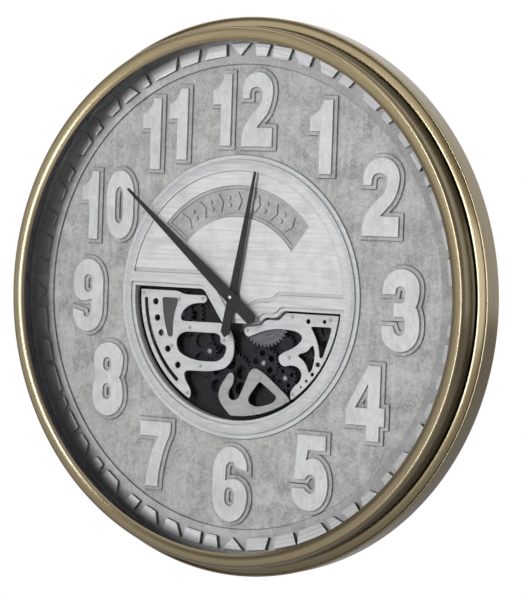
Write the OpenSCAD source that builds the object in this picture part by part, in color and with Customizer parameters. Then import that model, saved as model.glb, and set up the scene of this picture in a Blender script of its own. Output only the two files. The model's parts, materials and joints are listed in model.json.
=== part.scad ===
// Large round wall clock. A window in the lower half of the dial shows a turning gear train.
// The clock faces -Y with Z up. The origin lies on the axis of the hands, in the plane of the wall.
// Each piece is drawn lying on its back, with its height counted from the wall, and is then stood up.

/* [Case] */
// Outer diameter of the rear band
case_d = 600; // [570:1:660]
// Width of the step from the side of the band to the side of the bezel
shoulder_w = 11.5; // [10:0.5:14]
// Width of the bezel's face, from its side to its inner edge
bezel_w = 15.5; // [13:0.5:18]
// Sheet thickness of the band and the bezel
sheet_t = 1.5; // [1.2:0.1:1.8]
// Space between the band and the wall
wall_gap = 6; // [5:0.5:9]
// Depth of the rear band
band_depth = 25; // [24:0.5:32]
// Height of the bezel's crest above the dial
bezel_rise = 27.5; // [27:0.5:34]
// How far the bezel's inner edge lies behind its crest
lip_drop = 2.9; // [2:0.1:3.5]
// Width of the flange that carries the dial
flange_w = 14; // [12:0.5:18]
// Thickness of the glass
glass_t = 2.6; // [2:0.1:3]
// Thickness of the rubber round the glass
gasket_t = 0.6; // [0.4:0.1:0.8]
// Wall of the ring between the dial and the glass
spacer_w = 3.2; // [2.5:0.1:4]

/* [Dial] */
// Thickness of the dial plate
dial_t = 2.5; // [2:0.1:3]
// Width of the raised outer ring
ring_w = 33.7; // [31:0.1:36]
// Height of the raised outer ring
ring_h = 1.8; // [1:0.1:2.4]
// Height of the lugs on the outer ring
lug_h = 2.4; // [1.5:0.1:3]
// Length of the lugs along the radius
lug_len = 13; // [11:0.5:15]
// Distance from the outer ends of the lugs to the outer edge of the ring
lug_inset = 11.5; // [10:0.5:13]
// Least space left round the numerals' borders, towards the ring and the boss
numeral_gap = 5; // [3:0.5:8]
// Height of the border plate under each numeral
numeral_base_h = 2; // [1.2:0.1:2.5]
// Height of the face of each numeral
numeral_face_h = 2.5; // [1.5:0.1:3]
// Width of the border round each numeral
numeral_border = 4.2; // [3:0.1:4.5]

/* [Centre boss] */
// Diameter at the foot of the boss
boss_d = 304; // [290:0.2:320]
// Height of the boss above the dial
boss_h = 8; // [7:0.1:9]
// Height of each of the two steps at the edge
boss_step_h = 2; // [1.5:0.1:2.4]
// Width of each step
boss_step_w = 4.9; // [4:0.1:6]
// Width of the sloping rim outside the window's ledge
rim_w = 10.3; // [9:0.1:12]
// Width of the ledge round the window
ledge_w = 4.3; // [3:0.1:5]
// Depth of the ledge round the window
ledge_depth = 2; // [1:0.1:3]
// Width of the sloping rim outside the sunk half disc
recess_rim_w = 11.9; // [11:0.1:14]
// Depth of the sunk half disc
recess_depth = 1.8; // [1:0.1:2.2]
// Thickness of the brushed inlay in the half disc
inlay_t = 0.8; // [0.5:0.1:1]
// Gap along the lower edge of the inlay
inlay_gap = 3.8; // [3:0.1:4.5]
// Width of the curved plaque
plaque_w = 33.5; // [28:0.5:36]
// Distance from the plaque to the edge of the half disc
plaque_inset = 15.5; // [13:0.5:18]
// Angle from the middle of the plaque to its ends
plaque_half_angle = 49.5; // [44:0.5:52]
// Depth of the plaque below the inlay's seat
plaque_depth = 1.6; // [1:0.1:2]

/* [Bridges] */
// Gap between the window's edge and the bridge plates
bridge_gap = 5; // [3.5:0.1:6]
// Thickness of the bridge plates
bridge_t = 1.5; // [1.2:0.1:2]
// Height of the bridge plates' faces above the dial
bridge_rise = 1; // [0.5:0.1:1.5]
// Radius of the posts under the bridge plates
bridge_post_r = 2.5; // [2.2:0.1:2.8]
// Radius of the small screw heads
screw_head_r = 1.9; // [1.6:0.1:2]
// Radius of the small screws
screw_r = 1.1; // [0.9:0.05:1.2]

/* [Gear train] */
// Teeth on the main, lower and left wheels
wheel_teeth = 40;
// Teeth on the small pinions
pinion_teeth = 12;
// Teeth on the round idler
idler_teeth = 24;
// Teeth on the small idler at the lower right
small_idler_teeth = 18;
// Teeth on the upper left and the right wheels
third_teeth = 32;
// Teeth on the pinion of the upper left wheel
third_pinion_teeth = 18;
// Teeth on the far left wheel
fourth_teeth = 24;
// Play between meshing teeth
backlash = 0.3; // [0.25:0.01:0.4]
// Width of the front row of gears
front_gear_t = 2.5; // [2:0.1:2.5]
// Width of the rear row of gears
rear_gear_t = 3; // [2.5:0.1:3.2]
// Radius of the gears' fixed pins
gear_pin_r = 1.5; // [1.3:0.05:1.7]
// Thickness of the plate behind the gears
gear_plate_t = 2; // [1.5:0.1:2.5]
// How far the plate behind the gears reaches past the window
gear_plate_reach = 11.5; // [10:0.5:14]
// Depth of the gear motor
motor_depth = 11; // [10:0.5:11.5]
// Radius of the gear motor
motor_r = 17.5; // [16:0.5:18]

/* [Movement and hands] */
// Side of the square movement
movement_side = 56; // [54:0.5:57]
// Depth of the movement
movement_depth = 16; // [15.6:0.1:16.5]
// Radius of the threaded bush
bush_r = 4; // [3.8:0.1:4.2]
// Radius of the hour tube
hour_tube_r = 2.68; // [2.6:0.02:2.8]
// Radius of the minute arbor
minute_arbor_r = 1.7; // [1.6:0.02:1.8]
// Radial play of each turning shaft in its bore
shaft_play = 0.06; // [0.03:0.01:0.09]
// Length of the hour hand from its hub to its tip
hour_hand_len = 137; // [120:1:160]
// Length of the minute hand from its hub to its tip
minute_hand_len = 180; // [160:1:220]
// Thickness of each hand
hand_t = 1.2; // [0.8:0.1:1.4]
// Height of the hour hand's back above the dial
hour_hand_rise = 12.6; // [12.3:0.1:12.9]
// Height of the minute hand's back above the dial
minute_hand_rise = 15.5; // [15.2:0.1:15.9]
// Angle of the hour hand past twelve
hour_angle = 10.3; // [0:0.1:360]
// Angle of the minute hand past twelve
minute_angle = 308.9; // [0:0.1:360]

/* [Back] */
// Thickness of the back panel
panel_t = 2.5; // [2:0.1:3]
// How far the back panel lies inside the band's rear edge
panel_inset = 2; // [1.5:0.1:3]
// Number of screws in the back panel
panel_screws = 8; // [6:1:12]
// Inner length of the battery box
battery_bay_l = 54; // [52:0.5:56]
// Diameter of a battery cell
cell_d = 14.2; // [14:0.1:14.4]
// Length of a battery cell
cell_l = 50.2; // [49:0.1:50.5]
// Wall of the battery box
box_wall = 1.5; // [1.2:0.1:2]
// Travel of the battery lid
lid_travel = 12; // [8:1:14]
// Travel of the switch
switch_travel = 4; // [3:0.5:4]
// Radius of the hanger's narrow slot
hanger_slot_r = 2.6; // [2.2:0.1:3]
// Radius of the hanger's wide hole
hanger_hole_r = 5; // [4.5:0.1:5.5]
// Distance from the middle of the hanger up to the side of the band
hanger_drop = 48; // [42:1:55]
// Thickness of the hanger plate
hanger_t = 1.5; // [1.2:0.1:2]
// Radius of the wall bumpers
bumper_r = 8; // [6:0.5:9]

/* [Hidden] */

// Overrun of every cut, so that no face is shared
over = 1;
// Clearance between pieces that are dropped in by hand
fit_gap = 0.5;
// Clearance between a turning piece and the fixed piece behind it
run_gap = 0.3;
// Facets of large and of small round pieces
large_fn = 180;
small_fn = 32;

// Heights above the wall
band_z = wall_gap;
panel_z = band_z + panel_inset;
lip_z = panel_z + panel_t;
dial_z = wall_gap + band_depth;
dial_back_z = dial_z - dial_t;
crest_z = dial_z + bezel_rise;
lip_front_z = crest_z - lip_drop;
lip_back_z = lip_front_z - sheet_t + gasket_t / 2;
glass_z = lip_back_z - gasket_t - glass_t;
boss_top_z = dial_z + boss_h;
recess_z = boss_top_z - recess_depth;
inlay_z = recess_z + inlay_t;
ledge_z = boss_top_z - ledge_depth;
bridge_z = dial_z + bridge_rise - bridge_t;

// Radii of the case
case_r = case_d / 2;
bezel_r = case_r - shoulder_w;
opening_r = bezel_r - bezel_w;
band_inner_r = case_r - sheet_t;
skirt_inner_r = bezel_r - sheet_t;
shoulder_r = bezel_r + 0.75 * sheet_t;
flange_inner_r = bezel_r - flange_w;
dial_r = skirt_inner_r - fit_gap;
spacer_r = skirt_inner_r - fit_gap;
glass_r = spacer_r - 2.4 * fit_gap - 2 * gasket_t;
panel_r = band_inner_r - 2 * fit_gap;
panel_lip_w = 5.5 * sheet_t;
hanger_rise = case_r - hanger_drop;

// Radii of the dial
ring_outer_r = spacer_r - spacer_w - run_gap;
ring_inner_r = ring_outer_r - ring_w;
lug_outer_r = ring_outer_r - lug_inset;
lug_inner_r = lug_outer_r - lug_len;
boss_r = boss_d / 2;
boss_top_r = boss_r - boss_step_w;
window_r = boss_top_r - rim_w - ledge_w;
recess_r = boss_top_r - recess_rim_w;
plaque_outer_r = recess_r - plaque_inset;
plaque_inner_r = plaque_outer_r - plaque_w;
bridge_r = window_r - bridge_gap;
gear_plate_r = window_r + gear_plate_reach;

// The numerals stand midway between the boss and the ring. The unit of their shares is as large
// as the width of that band and the spacing round it allow.
numeral_r = (ring_inner_r + boss_r) / 2;
numeral_band_w = ring_inner_r - boss_r - 2 * (numeral_border + numeral_gap);
numeral_fit_share = 2.527;
numeral_unit = min(numeral_fit_share * numeral_band_w, numeral_r);

// Points of a circular arc
function arc_points(r, a0, a1, n) =
  [for (i = [0:n]) let(a = a0 + (a1 - a0) * i / n) [r * cos(a), r * sin(a)]];

// Part of each setback that fits on the side from one row to the next
function side_fit(r0, r1) =
  let(total = r0[3] + r1[2], side = norm([r1[0] - r0[0], r1[1] - r0[1]]))
  total > 0 ? min(1, 0.99 * side / total) : 1;

// One corner, rounded by a quarter of an ellipse from its setbacks along both of its sides
function corner_points(a, p, b, ta, tb, n) =
  ta * tb == 0 ? [p] : [for (i = [0:n]) let(turn = 90 * i / n)
    p + (a - p) / norm(a - p) * ta * (1 - sin(turn)) + (b - p) / norm(b - p) * tb * (1 - cos(turn))];

// An outline from rows of x, y and the setbacks towards the last and the next corner
function outline(rows, n = 5) =
  let(c = len(rows), p = [for (r = rows) [r[0], r[1]]])
  [for (i = [0:c - 1]) let(last = (i + c - 1) % c, next = (i + 1) % c)
    for (q = corner_points(p[last], p[i], p[next], rows[i][2] * side_fit(rows[last], rows[i]),
      rows[i][3] * side_fit(rows[i], rows[next]), n)) q];

// Rows of shares stretched to a width and a height. A fourth share is the second setback.
function scaled_rows(shares, w, h) =
  [for (s = shares) [s[0] * w, s[1] * h, s[2] * w, (len(s) > 3 ? s[3] : s[2]) * w]];

// Rows moved outwards by d, for rows that run counter-clockwise
function grown_rows(rows, d) =
  let(c = len(rows), p = [for (r = rows) [r[0], r[1]]])
  [for (i = [0:c - 1])
    let(
      a = p[i] - p[(i + c - 1) % c],
      b = p[(i + 1) % c] - p[i],
      na = [a[1], -a[0]] / norm(a),
      nb = [b[1], -b[0]] / norm(b),
      q = p[i] + (na + nb) * d / (1 + na * nb))
    [q[0], q[1], rows[i][2], rows[i][3]]];

// Stands a piece that was drawn lying on its back
module stand_up() {
  rotate([90, 0, 0]) children();
}

// A flat piece from its rear height and its thickness
module sheet_at(z, t) {
  translate([0, 0, z]) linear_extrude(t) children();
}

// A turned piece, from points of radius and height above the wall
module turned(points, fn = large_fn) {
  rotate_extrude($fn = fn) polygon(points);
}

module rod_at(place, z0, z1, r, fn = small_fn) {
  translate([place[0], place[1], z0]) cylinder(h = z1 - z0, r = r, $fn = fn);
}

module rounded_box(w, h, corner) {
  polygon(outline([for (s = [[-1, -1], [1, -1], [1, 1], [-1, 1]])
    [s[0] * w / 2, s[1] * h / 2, corner, corner]]));
}

module round_plate(r, fn = large_fn) {
  circle(r = r, $fn = fn);
}

// Openings in the centre boss

// Upper edge of the window, as shares of the window's radius, inside a larger square
window_shares = [[-1.1, 0.054, 0], [-1.1, -1.1, 0], [1.1, -1.1, 0], [1.1, -0.087, 0],
  [0.462, -0.087, 0.025], [0.4, -0.147, 0.025], [0.285, -0.148, 0.025], [0.223, -0.207, 0.01],
  [-0.122, -0.209, 0.012], [-0.313, 0.054, 0.03]];
// Lower edge of the sunk half disc, as shares of its radius, inside a larger square
recess_shares = [[1.1, 0.033, 0], [1.1, 1.1, 0], [-1.1, 1.1, 0], [-1.1, 0.167, 0],
  [-0.259, 0.167, 0.03], [-0.063, -0.11, 0.03], [0.07, -0.13, 0.045], [0.15, -0.066, 0.04],
  [0.24, -0.028, 0.04], [0.343, -0.031, 0.04], [0.42, 0.034, 0.04]];
window_rows = scaled_rows(window_shares, window_r, window_r);
recess_rows = scaled_rows(recess_shares, recess_r, recess_r);

module window_shape(grow = 0) {
  intersection() {
    round_plate(window_r + grow);
    polygon(outline(grown_rows(window_rows, grow)));
  }
}

module recess_shape(shrink = 0, edge_shrink = 0) {
  intersection() {
    round_plate(recess_r - shrink);
    polygon(outline(grown_rows(recess_rows, -shrink - edge_shrink)));
  }
}

// Ends of the plaque, each from its outer to its inner angle past twelve
plaque_right_angles = [plaque_half_angle - 0.5, plaque_half_angle + 4.2];
plaque_left_angles = [-plaque_half_angle - 0.8, -plaque_half_angle + 0.8];

function clock_point(r, a) = [r * sin(a), r * cos(a)];

// A point beyond or short of the plaque on the line of one of its ends
function plaque_end_point(angles, way) =
  let(
    q = clock_point(plaque_outer_r, angles[0]),
    p = clock_point(plaque_inner_r, angles[1]))
  p + (q - p) * way;

module plaque_shape(shrink = 0) {
  wide = [plaque_end_point(plaque_left_angles, -0.5), plaque_end_point(plaque_right_angles, -0.5),
    plaque_end_point(plaque_right_angles, 2), [0, 2 * plaque_outer_r],
    plaque_end_point(plaque_left_angles, 2)];
  rows = [for (p = wide) [p[0], p[1], 0, 0]];
  intersection() {
    difference() {
      round_plate(plaque_outer_r - shrink);
      round_plate(plaque_inner_r + shrink);
    }
    polygon(outline(grown_rows(rows, -shrink)));
  }
}

// Numerals

// Glyph outlines as shares of a width and a height, with setbacks as shares of the width
one_shares = [[0.45, 0, 0], [1, 0, 0], [1, 1, 0], [0.6, 1, 0], [0.46, 0.87, 0.2],
  [0.2, 0.8, 0.2], [0, 0.775, 0], [0, 0.575, 0], [0.45, 0.575, 0]];
two_shares = [[0, 0, 0], [1, 0, 0], [1, 0.25, 0], [0.49, 0.255, 0], [0.985, 0.53, 0.3, 0.4],
  [1, 1, 0.5], [0, 1, 0.5], [0, 0.648, 0], [0.234, 0.648, 0], [0.234, 0.8, 0.18],
  [0.66, 0.8, 0.2], [0.68, 0.6, 0.25], [0.1, 0.31, 0.25], [0, 0.12, 0.1]];
three_shares = [[0, 0.69, 0], [0.33, 0.69, 0], [0.36, 0.79, 0.08], [0.6, 0.79, 0.12],
  [0.6, 0.59, 0.1], [0.3, 0.59, 0], [0.3, 0.42, 0], [0.62, 0.42, 0.1], [0.62, 0.195, 0.15],
  [0.38, 0.195, 0.1], [0.29, 0.304, 0], [0, 0.304, 0], [0, 0, 0.45, 0.5], [1, 0, 0.5, 0.55],
  [1, 0.5, 0.38, 0.15], [0.876, 0.55, 0], [0.97, 0.61, 0.13, 0.28], [0.97, 1, 0.42, 0.49],
  [0, 1, 0.49, 0.5]];
four_shares = [[0.55, 0, 0], [0.87, 0, 0], [0.87, 0.204, 0], [1, 0.204, 0], [1, 0.446, 0],
  [0.87, 0.446, 0], [0.87, 1, 0], [0.55, 1, 0], [0.02, 0.44, 0.1], [0, 0.204, 0],
  [0.55, 0.204, 0]];
four_hole_shares = [[0.56, 0.76, 0], [0.24, 0.433, 0], [0.56, 0.433, 0]];
five_shares = [[0.125, 1, 0], [0.05, 0.41, 0], [0.36, 0.41, 0], [0.42, 0.48, 0.1],
  [0.66, 0.48, 0.15], [0.66, 0.23, 0.15], [0.42, 0.23, 0.1], [0.35, 0.288, 0],
  [0, 0.288, 0], [0, 0, 0.45, 0.5], [1, 0, 0.5, 0.6], [1, 0.7, 0.6, 0.42], [0.5, 0.7, 0.1],
  [0.375, 0.663, 0], [0.42, 0.806, 0], [0.91, 0.806, 0], [0.91, 1, 0]];
six_shares = [[0, 0, 0.62, 0.5], [1, 0, 0.5, 0.6], [1, 0.575, 0.42, 0.36], [0.5, 0.575, 0.12],
  [0.36, 0.545, 0], [0.37, 0.8, 0.16], [0.62, 0.8, 0.06], [0.63, 0.735, 0],
  [0.98, 0.69, 0], [0.98, 1, 0.5, 0.49], [0, 1, 0.5, 0.62]];
six_hole_shares = [[0.35, 0.21, 0.145], [0.64, 0.21, 0.145], [0.64, 0.457, 0.145],
  [0.35, 0.457, 0.145]];
seven_shares = [[0.22, 0, 0], [0.62, 0, 0], [0.64, 0.2, 0.2], [0.74, 0.46, 0.2],
  [0.86, 0.68, 0.2], [1, 0.83, 0.1], [1, 1, 0], [0, 1, 0], [0, 0.775, 0], [0.6, 0.775, 0],
  [0.42, 0.56, 0.2], [0.28, 0.28, 0.2]];
eight_shares = [[0, 0, 0.54, 0.5], [1, 0, 0.5, 0.54], [1, 0.47, 0.38, 0.17], [0.86, 0.53, 0],
  [0.98, 0.59, 0.15, 0.34], [0.98, 1, 0.45, 0.48], [0.02, 1, 0.48, 0.45],
  [0.02, 0.59, 0.34, 0.13], [0.1, 0.53, 0], [0, 0.47, 0.15, 0.38]];
eight_upper_hole_shares = [[0.33, 0.61, 0.14], [0.6, 0.61, 0.14], [0.6, 0.8, 0.14],
  [0.33, 0.8, 0.14]];
eight_lower_hole_shares = [[0.33, 0.22, 0.14], [0.61, 0.22, 0.14], [0.61, 0.44, 0.14],
  [0.33, 0.44, 0.14]];
nought_shares = [[0, 0, 0.7, 0.5], [1, 0, 0.5, 0.7], [1, 1, 0.7, 0.5], [0, 1, 0.5, 0.7]];
nought_hole_shares = [[0.31, 0.22, 0.25, 0.155], [0.62, 0.22, 0.155, 0.25],
  [0.62, 0.76, 0.25, 0.155], [0.31, 0.76, 0.155, 0.25]];

// For each digit its outline, then its holes
glyph_shares = [[nought_shares, nought_hole_shares], [one_shares], [two_shares],
  [three_shares], [four_shares, four_hole_shares], [five_shares],
  [six_shares, six_hole_shares], [seven_shares],
  [eight_shares, eight_upper_hole_shares, eight_lower_hole_shares]];

// For each digit on the dial its glyph, the hour that it belongs to, and its left, bottom, width
// and height as shares of the numerals' unit, from that hour's place. Minus six stands for a nine.
numeral_shares = [
  [1, 12, -0.192, -0.195, 0.118, 0.385], [2, 12, -0.002, -0.197, 0.193, 0.397],
  [1, 1, -0.074, -0.201, 0.137, 0.39],
  [2, 2, -0.106, -0.147, 0.218, 0.407],
  [3, 3, -0.1, -0.235, 0.223, 0.427],
  [4, 4, -0.163, -0.205, 0.232, 0.392],
  [5, 5, -0.11, -0.234, 0.22, 0.4],
  [6, 6, -0.112, -0.205, 0.222, 0.405],
  [7, 7, -0.102, -0.191, 0.203, 0.355],
  [8, 8, -0.071, -0.195, 0.208, 0.407],
  [-6, 9, -0.092, -0.237, 0.207, 0.405],
  [1, 10, -0.181, -0.222, 0.108, 0.377], [0, 10, -0.011, -0.215, 0.18, 0.377],
  [1, 11, -0.15, -0.194, 0.12, 0.387], [1, 11, 0.028, -0.139, 0.118, 0.387]];

module glyph(shares, w, h) {
  difference() {
    polygon(outline(scaled_rows(shares[0], w, h), 7));
    if (len(shares) > 1)
      for (i = [1:len(shares) - 1]) polygon(outline(scaled_rows(shares[i], w, h), 4));
  }
}

module digit(shares) {
  w = shares[4] * numeral_unit;
  h = shares[5] * numeral_unit;
  translate(clock_point(numeral_r, 360 * shares[1] / 12) + [shares[2], shares[3]] * numeral_unit)
    if (shares[0] < 0) translate([w, h]) rotate(180) glyph(glyph_shares[-shares[0]], w, h);
    else glyph(glyph_shares[shares[0]], w, h);
}

// Lugs

// Start and end angle of each lug at its inner and its outer end, over a quarter of the dial
lug_angles = [[-1.25, -1.15, -4, 1.5], [3.4, 6.2, 2.8, 6.9], [7.9, 12.3, 7.9, 12.8],
  [15.4, 18.3, 13.4, 18.6], [22, 25.2, 20.4, 26.1], [27.2, 30.2, 27.8, 31],
  [35.2, 39.2, 33.8, 40], [41.4, 43.8, 41, 44.4], [48, 51, 46.2, 51.8],
  [53, 57.6, 53, 56], [59.8, 61.6, 57.8, 61.4], [63.6, 69.8, 62.6, 71.2],
  [71.6, 76.6, 71.6, 77.6], [78.6, 84.8, 80, 85]];

module lug(angles, turn) {
  polygon([clock_point(lug_inner_r, angles[0] + turn), clock_point(lug_outer_r, angles[2] + turn),
    clock_point(lug_outer_r, angles[3] + turn), clock_point(lug_inner_r, angles[1] + turn)]);
}

// Bridge plates, with their outlines as shares of their outer radius

left_bridge_shares = [[-1.06, 0.025, 0], [-1.06, -1, 0], [-0.6, -1, 0], [-0.48, -0.9, 0.02],
  [-0.447, -0.855, 0.03], [-0.46, -0.8, 0.03], [-0.525, -0.715, 0.05],
  [-0.525, -0.65, 0.05], [-0.44, -0.646, 0.05], [-0.2, -0.643, 0.12], [-0.055, -0.58, 0.1],
  [-0.008, -0.43, 0.1], [-0.06, -0.27, 0.06], [-0.16, -0.228, 0.03], [-0.46, -0.229, 0.04],
  [-0.57, -0.23, 0.03], [-0.585, -0.185, 0.04], [-0.53, -0.1, 0.07], [-0.42, -0.068, 0.05],
  [-0.318, -0.064, 0.035], [-0.318, -0.002, 0.035], [-0.55, -0.002, 0.03],
  [-0.62, 0.025, 0.03]];
left_counter_shares = [[-0.615, -0.317, 0.12], [-0.618, -0.47, 0.08], [-0.49, -0.56, 0.14],
  [-0.1, -0.56, 0.14], [-0.1, -0.412, 0.03], [-0.16, -0.4, 0.02], [-0.165, -0.34, 0.015],
  [-0.195, -0.315, 0.03]];
left_panel_shares = [[-0.78, -0.035, 0.025], [-0.756, -0.22, 0.08], [-0.704, -0.37, 0.02],
  [-0.655, -0.372, 0.025], [-0.657, -0.2, 0.08], [-0.612, -0.07, 0.04],
  [-0.612, -0.035, 0.02]];
// Angles and radii, as shares of the outer radius, of the left bridge's slot and holes
left_slot_r_share = 0.947;
left_slot_w_share = 0.036;
left_slot_angles = [183.5, 230.5];
left_hole_ring_share = 0.85;
left_hole_r_share = 0.029;
left_hole_angles = [185.1, 194.6, 203.7, 214.1, 225.7];

right_bridge_shares = [[1.06, -0.11, 0], [0.48, -0.11, 0.02], [0.42, -0.175, 0.02],
  [0.287, -0.177, 0.02], [0.238, -0.223, 0.02], [0.172, -0.238, 0.03], [0.083, -0.25, 0.03],
  [0.07, -0.29, 0.035],
  [0.11, -0.333, 0.04], [0.19, -0.296, 0.06], [0.37, -0.238, 0.1], [0.625, -0.258, 0.07],
  [0.66, -0.32, 0.05], [0.575, -0.395, 0.05], [0.455, -0.445, 0.04], [0.412, -0.485, 0.045],
  [0.462, -0.565, 0.05], [0.56, -0.53, 0.06], [0.655, -0.57, 0.06], [0.655, -0.66, 0.05],
  [0.578, -0.72, 0.04], [0.545, -0.775, 0.04], [0.56, -0.83, 0.02], [0.6, -0.9, 0],
  [1.06, -0.9, 0]];
right_upper_cut_shares = [[0.725, -0.209, 0.02], [0.77, -0.28, 0.06], [0.812, -0.37, 0.06],
  [0.822, -0.465, 0.015], [0.851, -0.467, 0.02], [0.92, -0.27, 0.05], [0.932, -0.207, 0.025]];
right_lower_cut_shares = [[0.61, -0.461, 0.02], [0.66, -0.488, 0.05], [0.702, -0.535, 0.05],
  [0.722, -0.597, 0.015], [0.752, -0.577, 0.03], [0.784, -0.455, 0.06],
  [0.761, -0.36, 0.02], [0.735, -0.373, 0.02], [0.706, -0.424, 0.05],
  [0.631, -0.436, 0.02]];
// Place and radius of the right bridge's round holes
right_hole_shares = [[0.703, -0.169, 0.021], [0.86, -0.165, 0.017], [0.809, -0.52, 0.021],
  [0.758, -0.604, 0.017], [0.703, -0.663, 0.013], [0.652, -0.714, 0.009]];

lower_bridge_shares = [[0.52, -0.88, 0], [0.47, -1, 0], [0.1, -1.1, 0], [-0.06, -0.985, 0.06],
  [-0.16, -0.885, 0.06], [-0.168, -0.79, 0.06], [-0.1, -0.69, 0.05], [-0.065, -0.64, 0.03],
  [-0.02, -0.64, 0.03], [-0.012, -0.72, 0.04], [-0.07, -0.8, 0.03], [-0.06, -0.873, 0.05],
  [0.025, -0.87, 0.05], [0.075, -0.78, 0.08], [0.145, -0.605, 0.05], [0.205, -0.583, 0.04],
  [0.3, -0.635, 0.04], [0.52, -0.8, 0.03], [0.55, -0.845, 0.01]];
lower_cut_shares = [[0.243, -0.69, 0.025], [0.14, -0.825, 0.03], [0.13, -0.875, 0.03],
  [0.19, -0.912, 0.04], [0.3, -0.9, 0.06], [0.4, -0.855, 0.03], [0.42, -0.81, 0.025]];

// Screws that hold a bridge on a post, and rivets that only pass through a bridge
post_screw_shares = [[-0.976, -0.006], [-0.662, -0.447], [-0.483, -0.84], [0.546, -0.137],
  [0.915, -0.145], [0.53, -0.478], [0.571, -0.78], [0.184, -0.961], [0.501, -0.843]];
rivet_shares = [[-0.599, -0.047], [-0.356, -0.028], [-0.482, -0.282], [-0.36, -0.604],
  [-0.125, -0.372], [0.107, -0.273], [0.249, -0.663], [-0.09, -0.8]];
post_screw_places = post_screw_shares * bridge_r;
rivet_places = rivet_shares * bridge_r;

module bridge_outline(shares) {
  polygon(outline(scaled_rows(shares, bridge_r, bridge_r)));
}

module screw_holes() {
  for (p = concat(post_screw_places, rivet_places))
    rod_at(p, bridge_z - over, dial_z + bridge_rise + over, screw_r);
}

module arc_slot(r, w, angles) {
  reach = 2 * r;
  intersection() {
    difference() {
      round_plate(r + w / 2);
      round_plate(r - w / 2);
    }
    polygon(concat([[0, 0]], arc_points(reach, angles[0], angles[1], 6)));
  }
  for (a = angles) rotate(a) translate([r, 0]) circle(r = w / 2, $fn = small_fn);
}

// Gears

// Module of the teeth, as a share of the window's radius, so that the train fills the window
module_share = 0.01132;
gear_module = module_share * window_r;
// Tooth proportions as shares of the module, and the pressure angle
tooth_tip_share = 0.75;
tooth_root_share = 1.1;
pressure_angle = 20;

// Angles of the lines from each gear to the next, counter-clockwise from +X
motor_line_angle = 316.6;
idler_line_angle = 270;
lower_line_angle = 204.9;
left_line_angle = 132.1;
third_line_angle = 135;
fourth_line_angle = 209.1;
small_idler_line_angle = 332.7;
right_line_angle = 14;
// Place of the main wheel, as shares of the window's radius
main_place_shares = [0.249, -0.158];

function pitch_r(n) = n * gear_module / 2;
function polar_step(r, a) = [r * cos(a), r * sin(a)];
function meshed_place(place, n0, n1, direction) =
  place + polar_step(pitch_r(n0) + pitch_r(n1), direction);
// Angle of a tooth of the next gear, so that a tooth meets a gap at the line of centres
function meshed_turn(turn, n0, n1, direction) =
  direction + 180 - 180 / n1 + (direction - turn) * n0 / n1;

main_place = main_place_shares * window_r;
main_turn = 0;
motor_place = meshed_place(main_place, wheel_teeth, pinion_teeth, motor_line_angle);
motor_turn = meshed_turn(main_turn, wheel_teeth, pinion_teeth, motor_line_angle);
idler_place = meshed_place(main_place, wheel_teeth, idler_teeth, idler_line_angle);
idler_turn = meshed_turn(main_turn, wheel_teeth, idler_teeth, idler_line_angle);
lower_place = meshed_place(idler_place, idler_teeth, wheel_teeth, lower_line_angle);
lower_turn = meshed_turn(idler_turn, idler_teeth, wheel_teeth, lower_line_angle);
left_place = meshed_place(lower_place, wheel_teeth, pinion_teeth, left_line_angle);
left_pinion_turn = meshed_turn(lower_turn, wheel_teeth, pinion_teeth, left_line_angle);
left_turn = 0;
third_place = meshed_place(left_place, wheel_teeth, third_teeth, third_line_angle);
third_turn = meshed_turn(left_turn, wheel_teeth, third_teeth, third_line_angle);
third_pinion_turn = 0;
fourth_place = meshed_place(third_place, third_pinion_teeth, fourth_teeth, fourth_line_angle);
fourth_turn = meshed_turn(third_pinion_turn, third_pinion_teeth, fourth_teeth,
  fourth_line_angle);
small_idler_place = meshed_place(idler_place, idler_teeth, small_idler_teeth,
  small_idler_line_angle);
small_idler_turn = meshed_turn(idler_turn, idler_teeth, small_idler_teeth,
  small_idler_line_angle);
right_place = meshed_place(motor_place, pinion_teeth, third_teeth, right_line_angle);
right_turn = meshed_turn(motor_turn, pinion_teeth, third_teeth, right_line_angle);

// Rows of gears between the plate behind them and the dial
cap_t = 0.7;
cap_play = 0.2;
cap_r = 2 * gear_pin_r;
front_gear_z = dial_back_z - cap_play - cap_t - cap_play - front_gear_t;
rear_gear_z = front_gear_z - 2.3 * front_gear_t + 0.15 * rear_gear_t;
gear_plate_z = rear_gear_z - 1.2 * rear_gear_t;
plate_front_z = gear_plate_z + gear_plate_t;
hub_z = plate_front_z + run_gap;
hub_r = 2.6 * gear_pin_r;
bore_r = gear_pin_r + shaft_play;
shaft_r = 1.3 * gear_pin_r;

function involute(r, base_r) = let(a = acos(base_r / r)) tan(a) * 180 / PI - a;

function tooth_half_angle(r, n) =
  let(p = pitch_r(n), base_r = p * cos(pressure_angle), q = max(r, base_r))
  90 / n - backlash / p * 45 / PI + involute(p, base_r) - involute(q, base_r);

function tooth_points(n, turn, i) =
  let(
    p = pitch_r(n),
    radii = [p - tooth_root_share * gear_module, p - 0.3 * gear_module,
      p + 0.3 * gear_module, p + tooth_tip_share * gear_module],
    mid = turn + i * 360 / n,
    rise = [for (r = radii) polar_step(r, mid - tooth_half_angle(r, n))],
    fall = [for (k = [3:-1:0]) polar_step(radii[k], mid + tooth_half_angle(radii[k], n))])
  concat(rise, fall);

module toothed_disc(n, turn) {
  polygon([for (i = [0:n - 1]) for (q = tooth_points(n, turn, i)) q]);
}

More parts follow.
